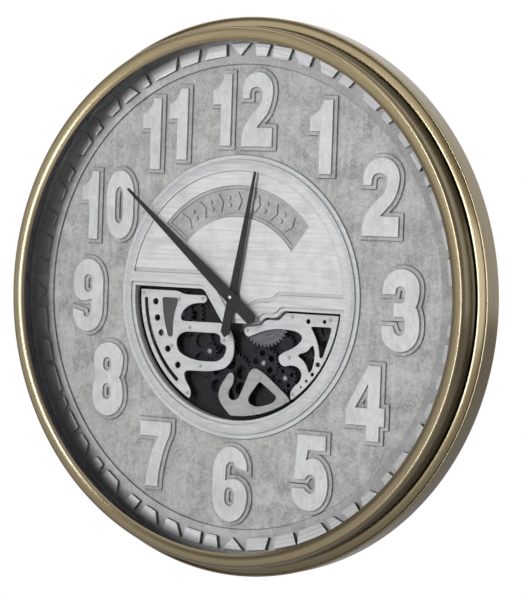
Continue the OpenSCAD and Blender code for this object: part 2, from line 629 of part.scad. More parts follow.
// A gear from its place and the height of its teeth, with a round hub and round holes
module gear(place, n, turn, z, t, hub_z1, holes = 0, hole_share = 0, ring_share = 0) {
  difference() {
    union() {
      translate([place[0], place[1], z]) linear_extrude(t) toothed_disc(n, turn);
      rod_at(place, hub_z, hub_z1, hub_r);
    }
    rod_at(place, hub_z - over, hub_z1 + over, bore_r);
    if (holes > 0)
      for (i = [0:holes - 1])
        rod_at(place + polar_step(ring_share * pitch_r(n), turn + i * 360 / holes),
          z - over, z + t + over, hole_share * pitch_r(n));
  }
}

// Pins of the gears that turn on the plate, with the height of each pin's top
front_pin_places = [main_place, idler_place, lower_place, left_place, third_place,
  fourth_place, small_idler_place];
front_hub_top_z = front_gear_z + front_gear_t;
rear_hub_top_z = rear_gear_z + 1.3 * rear_gear_t;

// Pillars between the plate behind the gears and the dial
pillar_r = 3.5;
pillar_ring_r = window_r + ledge_w + pillar_r / 4;
pillar_angles = [188, 213, 240, 300, 327, 350];
pillar_places = [for (a = pillar_angles) polar_step(pillar_ring_r, a)];
plate_top_share = 0.17;

// Movement
movement_r = movement_side / 2;
movement_front_z = front_gear_z - 1.3 * run_gap;
movement_z = movement_front_z - movement_depth;
bush_bore_r = hour_tube_r + shaft_play;
bush_top_z = dial_z + hour_hand_rise - 3 * run_gap;
nut_z = inlay_z + 0.8;
nut_t = 2.4;
nut_r = 6.5;
washer_r = 7;
spacer_disc_r = bush_r + 2.5;
cell_z = movement_z + cell_d / 2 + run_gap;
bay_w = cell_d + 2 * run_gap;
bay_l = cell_l + 4 * run_gap;
bay_y = movement_r - bay_w / 2 - box_wall;
knob_place = [0.43 * movement_r, -0.5 * movement_r];
knob_r = 8;
knob_t = 2.6;
knob_stem_r = 1.5;
knob_z = movement_z - run_gap - knob_t;
blind_z = movement_z + 0.75 * movement_depth;

// Hands
hour_hand_z = dial_z + hour_hand_rise;
minute_hand_z = dial_z + minute_hand_rise;
hour_tail_len = 44;
minute_tail_len = 41;
hour_hub_w = 9.4;
minute_hub_w = 13.6;
hour_tail_w = 11.2;
minute_tail_w = 13.4;
hand_tip_w = 2.6;
tail_point_len = 5;
collar_r = 5.5;
arbor_top_z = minute_hand_z + hand_t + 0.6 * hand_t;

// Half width of each hand from its tail to its tip
module hand_shape(length, hub_w, tail_len, tail_w) {
  polygon([[0, -tail_len], [tail_w / 2, tail_point_len - tail_len], [hub_w / 2, 0],
    [hand_tip_w / 2, length - hand_tip_w / 2], [0, length],
    [-hand_tip_w / 2, length - hand_tip_w / 2], [-hub_w / 2, 0],
    [-tail_w / 2, tail_point_len - tail_len]]);
}

// Back fittings
box_place = [90, 75];
box_gap = 0.8;
box_inner_w = 2 * cell_d + 3 * box_gap;
box_inner_d = cell_d + 2 * box_gap;
box_floor_z = panel_z + box_inner_d;
box_flange_w = 3.5;
box_flange_t = 1.2;
lid_t = 1.5;
lid_play = 0.15;
lid_z = panel_z - box_flange_t - lid_play - lid_t;
rail_w = 2;
rail_lip_w = 1.2;
rail_lip_t = 1.3;
box_outer = [battery_bay_l + 2 * box_wall, box_inner_w + 2 * box_wall];
lid_size = [box_outer[0] + box_flange_w, box_outer[1] + box_flange_w];
rail_y = lid_size[1] / 2 + lid_play;
switch_place = [152, 75];
switch_size = [14, 8, 7];
slider_size = [5, 3.2];
slider_rise = 3;
hanger_size = [64, 24];
hanger_slot_len = 9;
hanger_screw_x = 24;
panel_screw_r = 1.6;
panel_head_r = 3;
panel_head_t = 1.2;
panel_screw_ring_r = band_inner_r - panel_lip_w / 2;
dial_screw_ring_r = bezel_r - flange_w / 2;
dial_screw_count = 6;
bumper_ring_r = 0.9 * band_inner_r;
bumper_count = 4;

// Case

// Spun band: side wall, bead, shoulder that falls from the bezel to the bead in an arc, flange for
// the dial and lip for the back panel
module rear_band() {
  bead = sheet_t;
  lip_t = sheet_t;
  // Slope of the shoulder in degrees, beside the bezel and beside the bead
  top_slope = 14;
  foot_slope = 40;
  steps = 4;
  top_r = shoulder_r + 0.3 * bead;
  foot_r = case_r - 2 * bead;
  foot_z = dial_z - 1.3 * bead;
  arc_r = (foot_r - top_r) / (sin(foot_slope) - sin(top_slope));
  top_z = foot_z + arc_r * (cos(top_slope) - cos(foot_slope));
  shoulder = [for (i = [0:steps]) let (a = foot_slope + (top_slope - foot_slope) * i / steps)
    [foot_r + arc_r * (sin(a) - sin(foot_slope)), foot_z + arc_r * (cos(a) - cos(foot_slope))]];
  color("#8f815c") stand_up() difference() {
    turned(concat(
      [[band_inner_r, band_z], [case_r, band_z], [case_r, dial_z - 2 * bead],
        [case_r - 0.3 * bead, dial_z - 1.2 * bead], [case_r - 0.9 * bead, dial_z - 0.7 * bead],
        [case_r - 1.5 * bead, dial_z - 0.7 * bead], [case_r - 1.6 * bead, foot_z]],
      shoulder,
      [[shoulder_r, top_z - 0.4 * bead], [shoulder_r, dial_back_z],
        [flange_inner_r, dial_back_z],
        [flange_inner_r, dial_back_z - sheet_t], [band_inner_r, dial_back_z - sheet_t],
        [band_inner_r, lip_z + lip_t], [band_inner_r - panel_lip_w, lip_z + lip_t],
        [band_inner_r - panel_lip_w, lip_z], [band_inner_r, lip_z]]));
    for (i = [0:panel_screws - 1])
      rod_at(polar_step(panel_screw_ring_r, (i + 0.5) * 360 / panel_screws),
        lip_z - over, lip_z + lip_t + over, panel_screw_r);
    for (i = [0:dial_screw_count - 1])
      rod_at(polar_step(dial_screw_ring_r, i * 360 / dial_screw_count),
        dial_back_z - sheet_t - over, dial_back_z + over, panel_screw_r);
  }
}

// Rolled bezel: straight skirt, rounded crest and a lip that slopes in to the opening
module front_bezel() {
  roll_r = 2.7 * sheet_t;
  roll = [for (a = [0:15:90])
    [bezel_r - roll_r + roll_r * cos(a), crest_z - roll_r + roll_r * sin(a)]];
  crown_w = bezel_r - roll_r - opening_r;
  color("#a3946c") stand_up() turned(concat(
    [[skirt_inner_r, dial_back_z], [bezel_r, dial_back_z]],
    roll,
    [[opening_r + 0.7 * crown_w, crest_z - 0.05 * lip_drop],
      [opening_r + 0.42 * crown_w, crest_z - 0.28 * lip_drop],
      [opening_r + 0.16 * crown_w, crest_z - 0.66 * lip_drop],
      [opening_r, lip_front_z - 0.1 * sheet_t], [opening_r, lip_back_z + 0.4 * sheet_t],
      [opening_r + 0.5 * sheet_t, lip_back_z], [skirt_inner_r - 0.7 * sheet_t, lip_back_z],
      [skirt_inner_r, lip_back_z - 0.7 * sheet_t]]));
}

module front_glass() {
  color("#dfe8ea", 0.3) stand_up() sheet_at(glass_z, glass_t) round_plate(glass_r);
}

// Rubber channel that grips the rim of the glass
module glass_gasket() {
  outer_r = spacer_r - fit_gap;
  inner_r = opening_r + 0.8 * sheet_t;
  top_z = lip_back_z;
  color("#151515") stand_up() turned([
    [glass_r - 2 * gasket_t, glass_z - gasket_t], [outer_r, glass_z - gasket_t],
    [outer_r, top_z - sheet_t], [outer_r - 0.7 * sheet_t, top_z], [inner_r, top_z],
    [inner_r, top_z - gasket_t], [glass_r, top_z - gasket_t], [glass_r, glass_z],
    [glass_r - 2 * gasket_t, glass_z]]);
}

// Dark ring that holds the glass off the dial
module spacer_ring() {
  color("#2c2c30") stand_up() turned([
    [spacer_r - spacer_w, dial_z], [spacer_r, dial_z], [spacer_r, glass_z - gasket_t],
    [spacer_r - spacer_w, glass_z - gasket_t]]);
}

// Dial
module dial_plate() {
  color("#a3a5a3") stand_up() difference() {
    sheet_at(dial_back_z, dial_t) difference() {
      round_plate(dial_r);
      window_shape();
      circle(r = bush_r + run_gap, $fn = small_fn);
    }
    for (i = [0:dial_screw_count - 1])
      rod_at(polar_step(dial_screw_ring_r, i * 360 / dial_screw_count),
        dial_back_z - over, dial_back_z + dial_t / 2, panel_screw_r);
    for (p = pillar_places)
      rod_at(p, dial_back_z - over, dial_back_z + dial_t / 2, screw_r);
  }
}

// Raised ring with its tread of lugs and a rim that meets the dark ring
module outer_ring() {
  edge = ring_h / 3;
  quarters = 4;
  color("#9b9d9b") stand_up() {
    turned([
      [ring_inner_r, dial_z], [ring_outer_r, dial_z], [ring_outer_r, dial_z + 1.6 * ring_h],
      [ring_outer_r - 2 * ring_h, dial_z + 1.6 * ring_h],
      [ring_outer_r - 2.3 * ring_h, dial_z + ring_h],
      [ring_inner_r + edge, dial_z + ring_h], [ring_inner_r, dial_z + ring_h - edge]]);
    sheet_at(dial_z + ring_h, lug_h)
      for (q = [1:quarters]) for (angles = lug_angles) lug(angles, 360 * q / quarters);
  }
}

// Boss with two steps, a gently sloping rim, the window, its ledge and the sunk half disc
module centre_boss() {
  slope_z = dial_z + 2 * boss_step_h;
  slope_h = boss_top_z - slope_z;
  slope_w = 0.9 * min(rim_w, recess_rim_w);
  color("#b9bab9") stand_up() difference() {
    turned([
      [0, dial_z], [boss_r, dial_z], [boss_r, dial_z + boss_step_h],
      [boss_top_r, dial_z + boss_step_h], [boss_top_r, slope_z],
      [boss_top_r - 0.4 * slope_w, slope_z + 0.5 * slope_h],
      [boss_top_r - slope_w, boss_top_z], [0, boss_top_z]]);
    sheet_at(dial_z - over, boss_h + 2 * over) window_shape();
    sheet_at(ledge_z, ledge_depth + over) window_shape(ledge_w);
    sheet_at(recess_z, recess_depth + over) recess_shape();
    sheet_at(recess_z - plaque_depth, plaque_depth + recess_depth + over) plaque_shape();
    rod_at([0, 0], dial_z - over, boss_top_z + over, bush_r + run_gap);
  }
}

// Thin brushed inlay in the half disc, cut out round the plaque
module centre_inlay() {
  color("#c9c9c8") stand_up() sheet_at(recess_z, inlay_t) difference() {
    recess_shape(run_gap, inlay_gap);
    plaque_shape();
    circle(r = bush_r + run_gap, $fn = small_fn);
  }
}

// Curved plaque with a raised frame and a row of lozenges between pairs of dots
module plaque() {
  plaque_z = recess_z - plaque_depth;
  floor_t = 0.4 * plaque_depth;
  mid_r = (plaque_inner_r + plaque_outer_r) / 2;
  frame_t = plaque_depth - floor_t;
  mark_t = frame_t + inlay_t;
  frame_w = 0.1 * plaque_w;
  count = 7;
  pitch = 2 * plaque_half_angle / (count + 0.5);
  color("#9fa19f") stand_up() {
    sheet_at(plaque_z, floor_t) plaque_shape(run_gap);
    sheet_at(plaque_z + floor_t, frame_t) difference() {
      plaque_shape(run_gap);
      plaque_shape(run_gap + frame_w);
    }
    sheet_at(plaque_z + floor_t, mark_t) {
      for (i = [0:count - 1]) rotate((i - (count - 1) / 2) * pitch) translate([0, mid_r])
        polygon([[0, -0.3 * plaque_w], [0.13 * plaque_w, 0], [0, 0.3 * plaque_w],
          [-0.13 * plaque_w, 0]]);
      for (i = [0:count - 2]) for (s = [-1, 1])
        rotate((i - (count - 2) / 2) * pitch) translate([0, mid_r + s * 0.12 * plaque_w])
          circle(r = 0.065 * plaque_w, $fn = small_fn);
    }
  }
}

module numeral_bases() {
  color("#a9abaa") stand_up() for (s = numeral_shares)
    sheet_at(dial_z, numeral_base_h) offset(delta = numeral_border) digit(s);
}

module numeral_faces() {
  color("#cfd0cf") stand_up() for (s = numeral_shares)
    sheet_at(dial_z + numeral_base_h, numeral_face_h) digit(s);
}

// Bridge plates
module left_bridge() {
  color("#d3d4d5") stand_up() difference() {
    sheet_at(bridge_z, bridge_t) difference() {
      intersection() {
        round_plate(bridge_r);
        bridge_outline(left_bridge_shares);
      }
      bridge_outline(left_counter_shares);
      bridge_outline(left_panel_shares);
      arc_slot(left_slot_r_share * bridge_r, left_slot_w_share * bridge_r, left_slot_angles);
      for (a = left_hole_angles) rotate(a) translate([left_hole_ring_share * bridge_r, 0])
        circle(r = left_hole_r_share * bridge_r, $fn = small_fn);
    }
    screw_holes();
  }
}

module right_bridge() {
  color("#d3d4d5") stand_up() difference() {
    sheet_at(bridge_z, bridge_t) difference() {
      intersection() {
        round_plate(bridge_r);
        bridge_outline(right_bridge_shares);
      }
      bridge_outline(right_upper_cut_shares);
      bridge_outline(right_lower_cut_shares);
      for (s = right_hole_shares) translate([s[0], s[1]] * bridge_r)
        circle(r = s[2] * bridge_r, $fn = small_fn);
    }
    screw_holes();
  }
}

module lower_bridge() {
  color("#bcbab2") stand_up() difference() {
    sheet_at(bridge_z, bridge_t) difference() {
      intersection() {
        round_plate(bridge_r);
        bridge_outline(lower_bridge_shares);
      }
      bridge_outline(lower_cut_shares);
    }
    screw_holes();
  }
}

module bridge_posts() {
  color("#3a3a3c") stand_up() difference() {
    for (p = post_screw_places) rod_at(p, plate_front_z, bridge_z, bridge_post_r);
    for (p = post_screw_places)
      rod_at(p, bridge_z - 2 * bridge_t, bridge_z + over, screw_r);
  }
}

module small_screw(place, z0) {
  face_z = bridge_z + bridge_t;
  head_t = 0.35 * screw_head_r;
  difference() {
    union() {
      rod_at(place, z0, face_z, screw_r);
      rod_at(place, face_z, face_z + head_t, screw_head_r);
    }
    translate([place[0], place[1], face_z + head_t]) rotate(place[0] * 7)
      cube([2.4 * screw_head_r, 0.3 * screw_head_r, head_t], center = true);
  }
}

module bridge_screws() {
  color("#a8a8aa") stand_up() {
    for (p = post_screw_places) small_screw(p, bridge_z - 2 * bridge_t);
    for (p = rivet_places) small_screw(p, bridge_z);
  }
}

// Plate behind the gears, notched round the movement
module gear_plate() {
  notch = movement_side + 4 * fit_gap;
  color("#29292b") stand_up() difference() {
    sheet_at(gear_plate_z, gear_plate_t) difference() {
      intersection() {
        round_plate(gear_plate_r);
        translate([-gear_plate_r, -gear_plate_r])
          square([2 * gear_plate_r, (1 + plate_top_share) * gear_plate_r]);
      }
      rotate(45) square(notch, center = true);
    }
    for (p = front_pin_places)
      rod_at(p, gear_plate_z - over, plate_front_z + over, gear_pin_r);
    rod_at(right_place, gear_plate_z - over, plate_front_z + over, gear_pin_r);
    rod_at(motor_place, gear_plate_z - over, plate_front_z + over, shaft_r + 2 * run_gap);
    for (p = pillar_places) rod_at(p, gear_plate_z - over, plate_front_z + over, screw_r);
    for (s = [-1, 1])
      rod_at(motor_place + [0, s * 1.2 * motor_r], gear_plate_z - over, plate_front_z + over,
        screw_r);
  }
}

module plate_pillars() {
  color("#6d6d70") stand_up() difference() {
    for (p = pillar_places) rod_at(p, plate_front_z, dial_back_z, pillar_r);
    for (p = pillar_places) rod_at(p, plate_front_z - over, dial_back_z + over, screw_r);
  }
}

// Long screws through the plate and its pillars into the dial
module plate_screws() {
  head_t = 0.6 * screw_head_r;
  color("#a8a8aa") stand_up() for (p = pillar_places) {
    rod_at(p, gear_plate_z, dial_back_z + dial_t / 2, screw_r);
    rod_at(p, gear_plate_z - head_t, gear_plate_z, screw_head_r);
  }
}

module gear_pins() {
  color("#b9b9ba") stand_up() {
    for (p = front_pin_places)
      rod_at(p, gear_plate_z, front_hub_top_z + cap_play + cap_t, gear_pin_r);
    rod_at(right_place, gear_plate_z, rear_hub_top_z + cap_play + cap_t, gear_pin_r);
  }
}

module pin_cap(place, z) {
  difference() {
    rod_at(place, z, z + cap_t, cap_r);
    rod_at(place, z - over, z + cap_t + over, gear_pin_r);
  }
}

module pin_caps() {
  color("#b08d4a") stand_up() {
    for (p = front_pin_places) pin_cap(p, front_hub_top_z + cap_play);
    pin_cap(right_place, rear_hub_top_z + cap_play);
  }
}

// Gears of the front row
module main_wheel() {
  color("#8d8f92") stand_up()
    gear(main_place, wheel_teeth, main_turn, front_gear_z, front_gear_t, front_hub_top_z);
}

// Two rows of teeth on the motor's shaft
module motor_pinion() {
  color("#4a4a4d") stand_up() {
    for (z = [rear_gear_z, front_gear_z])
      translate([motor_place[0], motor_place[1], z])
        linear_extrude(z == rear_gear_z ? rear_gear_t : front_gear_t)
          toothed_disc(pinion_teeth, motor_turn);
    rod_at(motor_place, rear_gear_z + rear_gear_t, front_gear_z, hub_r);
    rod_at(motor_place, hub_z, rear_gear_z, hub_r);
    rod_at(motor_place, gear_plate_z - motor_depth / 2, hub_z, shaft_r);
  }
}

module round_idler() {
  color("#4a4a4d") stand_up()
    gear(idler_place, idler_teeth, idler_turn, front_gear_z, front_gear_t, front_hub_top_z,
      5, 0.2, 0.6);
}

module lower_wheel() {
  color("#45454a") stand_up()
    gear(lower_place, wheel_teeth, lower_turn, front_gear_z, front_gear_t, front_hub_top_z,
      6, 0.24, 0.6);
}

module small_idler() {
  color("#4a4a4d") stand_up()
    gear(small_idler_place, small_idler_teeth, small_idler_turn, front_gear_z, front_gear_t,
      front_hub_top_z, 4, 0.18, 0.62);
}

module fourth_wheel() {
  color("#6b6b70") stand_up()
    gear(fourth_place, fourth_teeth, fourth_turn, front_gear_z, front_gear_t,
      front_hub_top_z, 5, 0.2, 0.6);
}

// Gears of the rear row, and the pinions in front of them
module left_wheel() {
  color("#45454a") stand_up()
    gear(left_place, wheel_teeth, left_turn, rear_gear_z, rear_gear_t, front_gear_z,
      5, 0.27, 0.58);
}

module left_pinion() {
  color("#5a5a5e") stand_up() difference() {
    translate([left_place[0], left_place[1], front_gear_z]) linear_extrude(front_gear_t)
      toothed_disc(pinion_teeth, left_pinion_turn);
    rod_at(left_place, front_gear_z - over, front_hub_top_z + over, bore_r);
  }
}

module third_wheel() {
  color("#4f4f54") stand_up()
    gear(third_place, third_teeth, third_turn, rear_gear_z, rear_gear_t, front_gear_z,
      6, 0.2, 0.62);
}

module third_pinion() {
  color("#5a5a5e") stand_up() difference() {
    translate([third_place[0], third_place[1], front_gear_z]) linear_extrude(front_gear_t)
      toothed_disc(third_pinion_teeth, third_pinion_turn);
    rod_at(third_place, front_gear_z - over, front_hub_top_z + over, bore_r);
  }
}

module right_wheel() {
  color("#4f4f54") stand_up()
    gear(right_place, third_teeth, right_turn, rear_gear_z, rear_gear_t, rear_hub_top_z,
      6, 0.2, 0.62);
}

// Motor under the plate, with two ears and a blind bore for its shaft
module gear_motor() {
  ear_t = 1.2;
  ear_x = 1.2 * motor_r;
  color("#9a9a9c") stand_up() difference() {
    union() {
      rod_at(motor_place, gear_plate_z - motor_depth, gear_plate_z, motor_r, 64);
      sheet_at(gear_plate_z - ear_t, ear_t)
        translate([motor_place[0], motor_place[1]]) hull()
          for (s = [-1, 1]) translate([0, s * ear_x]) circle(r = 2 * screw_head_r, $fn = 32);
    }
    rod_at(motor_place, gear_plate_z - motor_depth / 2 - run_gap, gear_plate_z + over,
      shaft_r + shaft_play);
    for (s = [-1, 1])
      rod_at(motor_place + [0, s * ear_x], gear_plate_z - ear_t - over, gear_plate_z + over,
        screw_r);
  }
}

module motor_screws() {
  ear_t = 1.2;
  head_t = 0.6 * screw_head_r;
  color("#a8a8aa") stand_up() for (s = [-1, 1]) {
    place = motor_place + [0, s * 1.2 * motor_r];
    rod_at(place, gear_plate_z - ear_t, plate_front_z, screw_r);
    rod_at(place, gear_plate_z - ear_t - head_t, gear_plate_z - ear_t, screw_head_r);
  }
}

// Movement, turned so that a corner points up and its battery bay faces the wall
module movement_case() {
  corner = 3;
  color("#1d1d1f") stand_up() rotate(45) difference() {
    sheet_at(movement_z, movement_depth) rounded_box(movement_side, movement_side, corner);
    translate([-bay_l / 2, bay_y - bay_w / 2, movement_z - over])
      cube([bay_l, bay_w, bay_w + over]);
    rod_at([0, 0], blind_z, movement_front_z + over, bush_bore_r);
    rod_at(knob_place, movement_z - over, blind_z, knob_stem_r + shaft_play);
  }
}

module movement_cell() {
  button_l = 0.03 * cell_l;
  color("#b9862f") stand_up() rotate(45)
    translate([-cell_l / 2, bay_y, cell_z]) rotate([0, 90, 0]) {
      cylinder(h = cell_l - button_l, r = cell_d / 2, $fn = 48);
      cylinder(h = cell_l, r = 0.19 * cell_d, $fn = small_fn);
    }
}

// Fluted wheel that sets the hands from the back
module set_knob() {
  flutes = 16;
  color("#e6e2d6") stand_up() rotate(45) {
    difference() {
      rod_at(knob_place, knob_z, knob_z + knob_t, knob_r, 48);
      for (i = [0:flutes - 1])
        rod_at(knob_place + polar_step(knob_r + 0.05 * knob_r, i * 360 / flutes),
          knob_z - over, knob_z + knob_t + over, 0.11 * knob_r, 16);
    }
    rod_at(knob_place, knob_z + knob_t, blind_z - run_gap, knob_stem_r);
  }
}

module threaded_bush() {
  color("#c2a25a") stand_up() difference() {
    rod_at([0, 0], movement_front_z, bush_top_z, bush_r, 48);
    rod_at([0, 0], movement_front_z - over, bush_top_z + over, bush_bore_r, 48);
  }
}

module bush_spacer() {
  color("#202022") stand_up() difference() {
    rod_at([0, 0], movement_front_z, dial_back_z, spacer_disc_r, 48);
    rod_at([0, 0], movement_front_z - over, dial_back_z + over, bush_r, 48);
  }
}

// Washer and hexagonal nut that clamp the movement to the dial
module fixing_nut() {
  color("#6a6a6c") stand_up() difference() {
    union() {
      rod_at([0, 0], inlay_z, nut_z, washer_r, 48);
      translate([0, 0, nut_z]) linear_extrude(nut_t) circle(r = nut_r, $fn = 6);
    }
    rod_at([0, 0], inlay_z - over, nut_z + nut_t + over, bush_r, 48);
  }
}

// Hands and their shafts
module hour_tube() {
  color("#c2a25a") stand_up() difference() {
    rod_at([0, 0], blind_z + run_gap, hour_hand_z + hand_t, hour_tube_r, 48);
    rod_at([0, 0], blind_z + run_gap - over, hour_hand_z + hand_t + over,
      minute_arbor_r + shaft_play, 48);
  }
}

module hour_hand() {
  color("#35353a") stand_up() rotate(-hour_angle) difference() {
    union() {
      sheet_at(hour_hand_z, hand_t)
        hand_shape(hour_hand_len, hour_hub_w, hour_tail_len, hour_tail_w);
      rod_at([0, 0], hour_hand_z - 2 * run_gap, hour_hand_z + hand_t, collar_r, 48);
    }
    rod_at([0, 0], hour_hand_z - over, hour_hand_z + hand_t + over, hour_tube_r, 48);
  }
}

module minute_arbor() {
  color("#d9d6cc") stand_up()
    turned([[0, blind_z + 2 * run_gap], [minute_arbor_r, blind_z + 2 * run_gap],
      [minute_arbor_r, arbor_top_z - 0.4 * hand_t], [0.75 * minute_arbor_r, arbor_top_z],
      [0, arbor_top_z]], 48);
}

module minute_hand() {
  color("#35353a") stand_up() rotate(-minute_angle) difference() {
    union() {
      sheet_at(minute_hand_z, hand_t)
        hand_shape(minute_hand_len, minute_hub_w, minute_tail_len, minute_tail_w);
      rod_at([0, 0], minute_hand_z - 2 * run_gap, minute_hand_z + hand_t, collar_r, 48);
    }
    rod_at([0, 0], minute_hand_z - over, minute_hand_z + hand_t + over, minute_arbor_r, 48);
  }
}

// Back panel with openings for the movement, the motor, the battery box and the switch
module back_panel() {
  keyhole_w = 2 * hanger_hole_r + 4 * fit_gap;
  color("#3b3a38") stand_up() difference() {
    sheet_at(panel_z, panel_t) difference() {
      round_plate(panel_r);
      rotate(45) square(movement_side + 4 * fit_gap, center = true);
      translate([motor_place[0], motor_place[1]]) circle(r = motor_r + 2 * fit_gap, $fn = 64);
      translate(box_place) square(box_outer + [fit_gap, fit_gap], center = true);
      translate(switch_place)
        square([slider_size[0] + switch_travel + 2 * fit_gap, slider_size[1] + 2 * fit_gap],
          center = true);
      translate([0, hanger_rise]) square([keyhole_w, 2 * keyhole_w], center = true);
    }
    for (i = [0:panel_screws - 1])
      rod_at(polar_step(panel_screw_ring_r, (i + 0.5) * 360 / panel_screws),
        panel_z - over, lip_z + over, panel_screw_r);
    for (s = [-1, 1])
      rod_at([s * hanger_screw_x, hanger_rise], panel_z - over, lip_z + over, screw_r);
  }
}

module panel_screw_set() {
  color("#7c7c7e") stand_up() for (i = [0:panel_screws - 1]) {
    place = polar_step(panel_screw_ring_r, (i + 0.5) * 360 / panel_screws);
    difference() {
      union() {
        rod_at(place, panel_z, lip_z + 2 * sheet_t, panel_screw_r);
        rod_at(place, panel_z - panel_head_t, panel_z, panel_head_r);
      }
      for (a = [0, 90])
        translate([place[0], place[1], panel_z - panel_head_t]) rotate(a)
          cube([1.2 * panel_head_r, 0.3 * panel_head_r, panel_head_t], center = true);
    }
  }
}

module dial_screws() {
  color("#7c7c7e") stand_up() for (i = [0:dial_screw_count - 1]) {
    place = polar_step(dial_screw_ring_r, i * 360 / dial_screw_count);
    flange_back_z = dial_back_z - sheet_t;
    rod_at(place, flange_back_z, dial_back_z + dial_t / 2, panel_screw_r);
    rod_at(place, flange_back_z - panel_head_t, flange_back_z, panel_head_r);
  }
}

// Box sunk in the panel, with a flange and two rails for its lid
module battery_box() {
  flange = [lid_size[0], rail_y * 2 + 2 * rail_w];
  flange_z = panel_z - box_flange_t;
  rail_z = lid_z - lid_play - rail_lip_t;
  color("#222224") stand_up() translate([box_place[0], box_place[1], 0]) difference() {
    union() {
      translate([-box_outer[0] / 2, -box_outer[1] / 2, flange_z])
        cube([box_outer[0], box_outer[1], box_floor_z + box_wall - flange_z]);
      translate([-flange[0] / 2, -flange[1] / 2, flange_z])
        cube([flange[0], flange[1], box_flange_t]);
      for (s = [-1, 1]) {
        translate([-flange[0] / 2, s * (rail_y + rail_w / 2) - rail_w / 2, rail_z])
          cube([flange[0], rail_w, flange_z - rail_z]);
        translate([-flange[0] / 2, s * (rail_y + rail_w / 2 - rail_lip_w / 2)
          - (rail_w + rail_lip_w) / 2, rail_z])
          cube([flange[0], rail_w + rail_lip_w, rail_lip_t]);
      }
    }
    translate([-battery_bay_l / 2, -box_inner_w / 2, flange_z - over])
      cube([battery_bay_l, box_inner_w, box_floor_z - flange_z + over]);
  }
}

module battery_cells() {
  button_l = 0.03 * cell_l;
  color("#b9862f") stand_up() translate([box_place[0], box_place[1], 0])
    for (s = [-1, 1])
      translate([-s * cell_l / 2, s * (cell_d + box_gap) / 2, panel_z + box_inner_d / 2])
        rotate([0, s * 90, 0]) {
          cylinder(h = cell_l - button_l, r = cell_d / 2, $fn = 48);
          cylinder(h = cell_l, r = 0.19 * cell_d, $fn = small_fn);
        }
}

// Lid that slides out along the rails, with three thumb ribs
module battery_lid() {
  rib = 0.8;
  color("#2a2a2c") stand_up() translate([box_place[0], box_place[1], 0]) {
    translate([-lid_size[0] / 2, -lid_size[1] / 2, lid_z]) cube([lid_size[0], lid_size[1], lid_t]);
    for (i = [0:2])
      translate([lid_size[0] / 2 - (2 + 3 * i) * 2 * rib, -lid_size[1] / 6, lid_z - rib])
        cube([2 * rib, lid_size[1] / 3, rib]);
  }
}

module switch_body() {
  cavity = [slider_size[0] + switch_travel + 2 * run_gap, slider_size[1] + 2 * run_gap];
  color("#2b2b2d") stand_up() translate([switch_place[0], switch_place[1], lip_z])
    difference() {
      translate([-switch_size[0] / 2, -switch_size[1] / 2, 0])
        cube([switch_size[0], switch_size[1], switch_size[2]]);
      translate([-cavity[0] / 2, -cavity[1] / 2, -over])
        cube([cavity[0], cavity[1], switch_size[2] / 2 + over]);
    }
}

module switch_slider() {
  foot_z = lip_z + switch_size[2] / 2 - run_gap;
  top_z = panel_z - slider_rise;
  color("#b7b7b7") stand_up() translate([switch_place[0], switch_place[1], 0])
    translate([-(slider_size[0] + switch_travel) / 2, -slider_size[1] / 2, top_z])
      cube([slider_size[0], slider_size[1], foot_z - top_z]);
}

// Hanger with a keyhole: the wall screw's head enters the wide hole and the slot drops onto it
module hanger_plate() {
  color("#a6a6a8") stand_up() difference() {
    sheet_at(panel_z - hanger_t, hanger_t) translate([0, hanger_rise]) difference() {
      rounded_box(hanger_size[0], hanger_size[1], hanger_size[1] / 4);
      translate([0, -hanger_slot_len / 3]) circle(r = hanger_hole_r, $fn = 48);
      translate([-hanger_slot_r, -hanger_slot_len / 3])
        square([2 * hanger_slot_r, hanger_slot_len]);
      translate([0, 2 * hanger_slot_len / 3]) circle(r = hanger_slot_r, $fn = small_fn);
    }
    for (s = [-1, 1])
      rod_at([s * hanger_screw_x, hanger_rise], panel_z - hanger_t - over, panel_z + over,
        screw_r);
  }
}

module hanger_screws() {
  head_t = 0.6 * screw_head_r;
  color("#7c7c7e") stand_up() for (s = [-1, 1]) {
    place = [s * hanger_screw_x, hanger_rise];
    rod_at(place, panel_z - hanger_t, lip_z, screw_r);
    rod_at(place, panel_z - hanger_t - head_t, panel_z - hanger_t, 1.4 * screw_head_r);
  }
}

module wall_bumpers() {
  color("#1b1b1b") stand_up() for (i = [0:bumper_count - 1])
    rod_at(polar_step(bumper_ring_r, (i + 0.5) * 360 / bumper_count), 0, panel_z, bumper_r);
}

rear_band();
front_bezel();
front_glass();
glass_gasket();
spacer_ring();
dial_plate();
outer_ring();
centre_boss();
centre_inlay();
plaque();
numeral_bases();
numeral_faces();
left_bridge();
right_bridge();
lower_bridge();
bridge_posts();
bridge_screws();
gear_plate();
plate_pillars();
plate_screws();
gear_pins();
pin_caps();
main_wheel();
motor_pinion();
round_idler();
lower_wheel();
left_wheel();
left_pinion();
third_wheel();
third_pinion();
fourth_wheel();
small_idler();
right_wheel();
gear_motor();
motor_screws();
movement_case();
movement_cell();
set_knob();
threaded_bush();
bush_spacer();
fixing_nut();
hour_tube();
hour_hand();
minute_arbor();
minute_hand();
back_panel();
panel_screw_set();
dial_screws();
battery_box();
battery_cells();
battery_lid();
switch_body();
switch_slider();
hanger_plate();
hanger_screws();
wall_bumpers();
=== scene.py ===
"""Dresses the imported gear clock: procedural metals and plastics, studio light and the camera."""

import json
import math

import bmesh
import bpy
from mathutils import Matrix, Vector

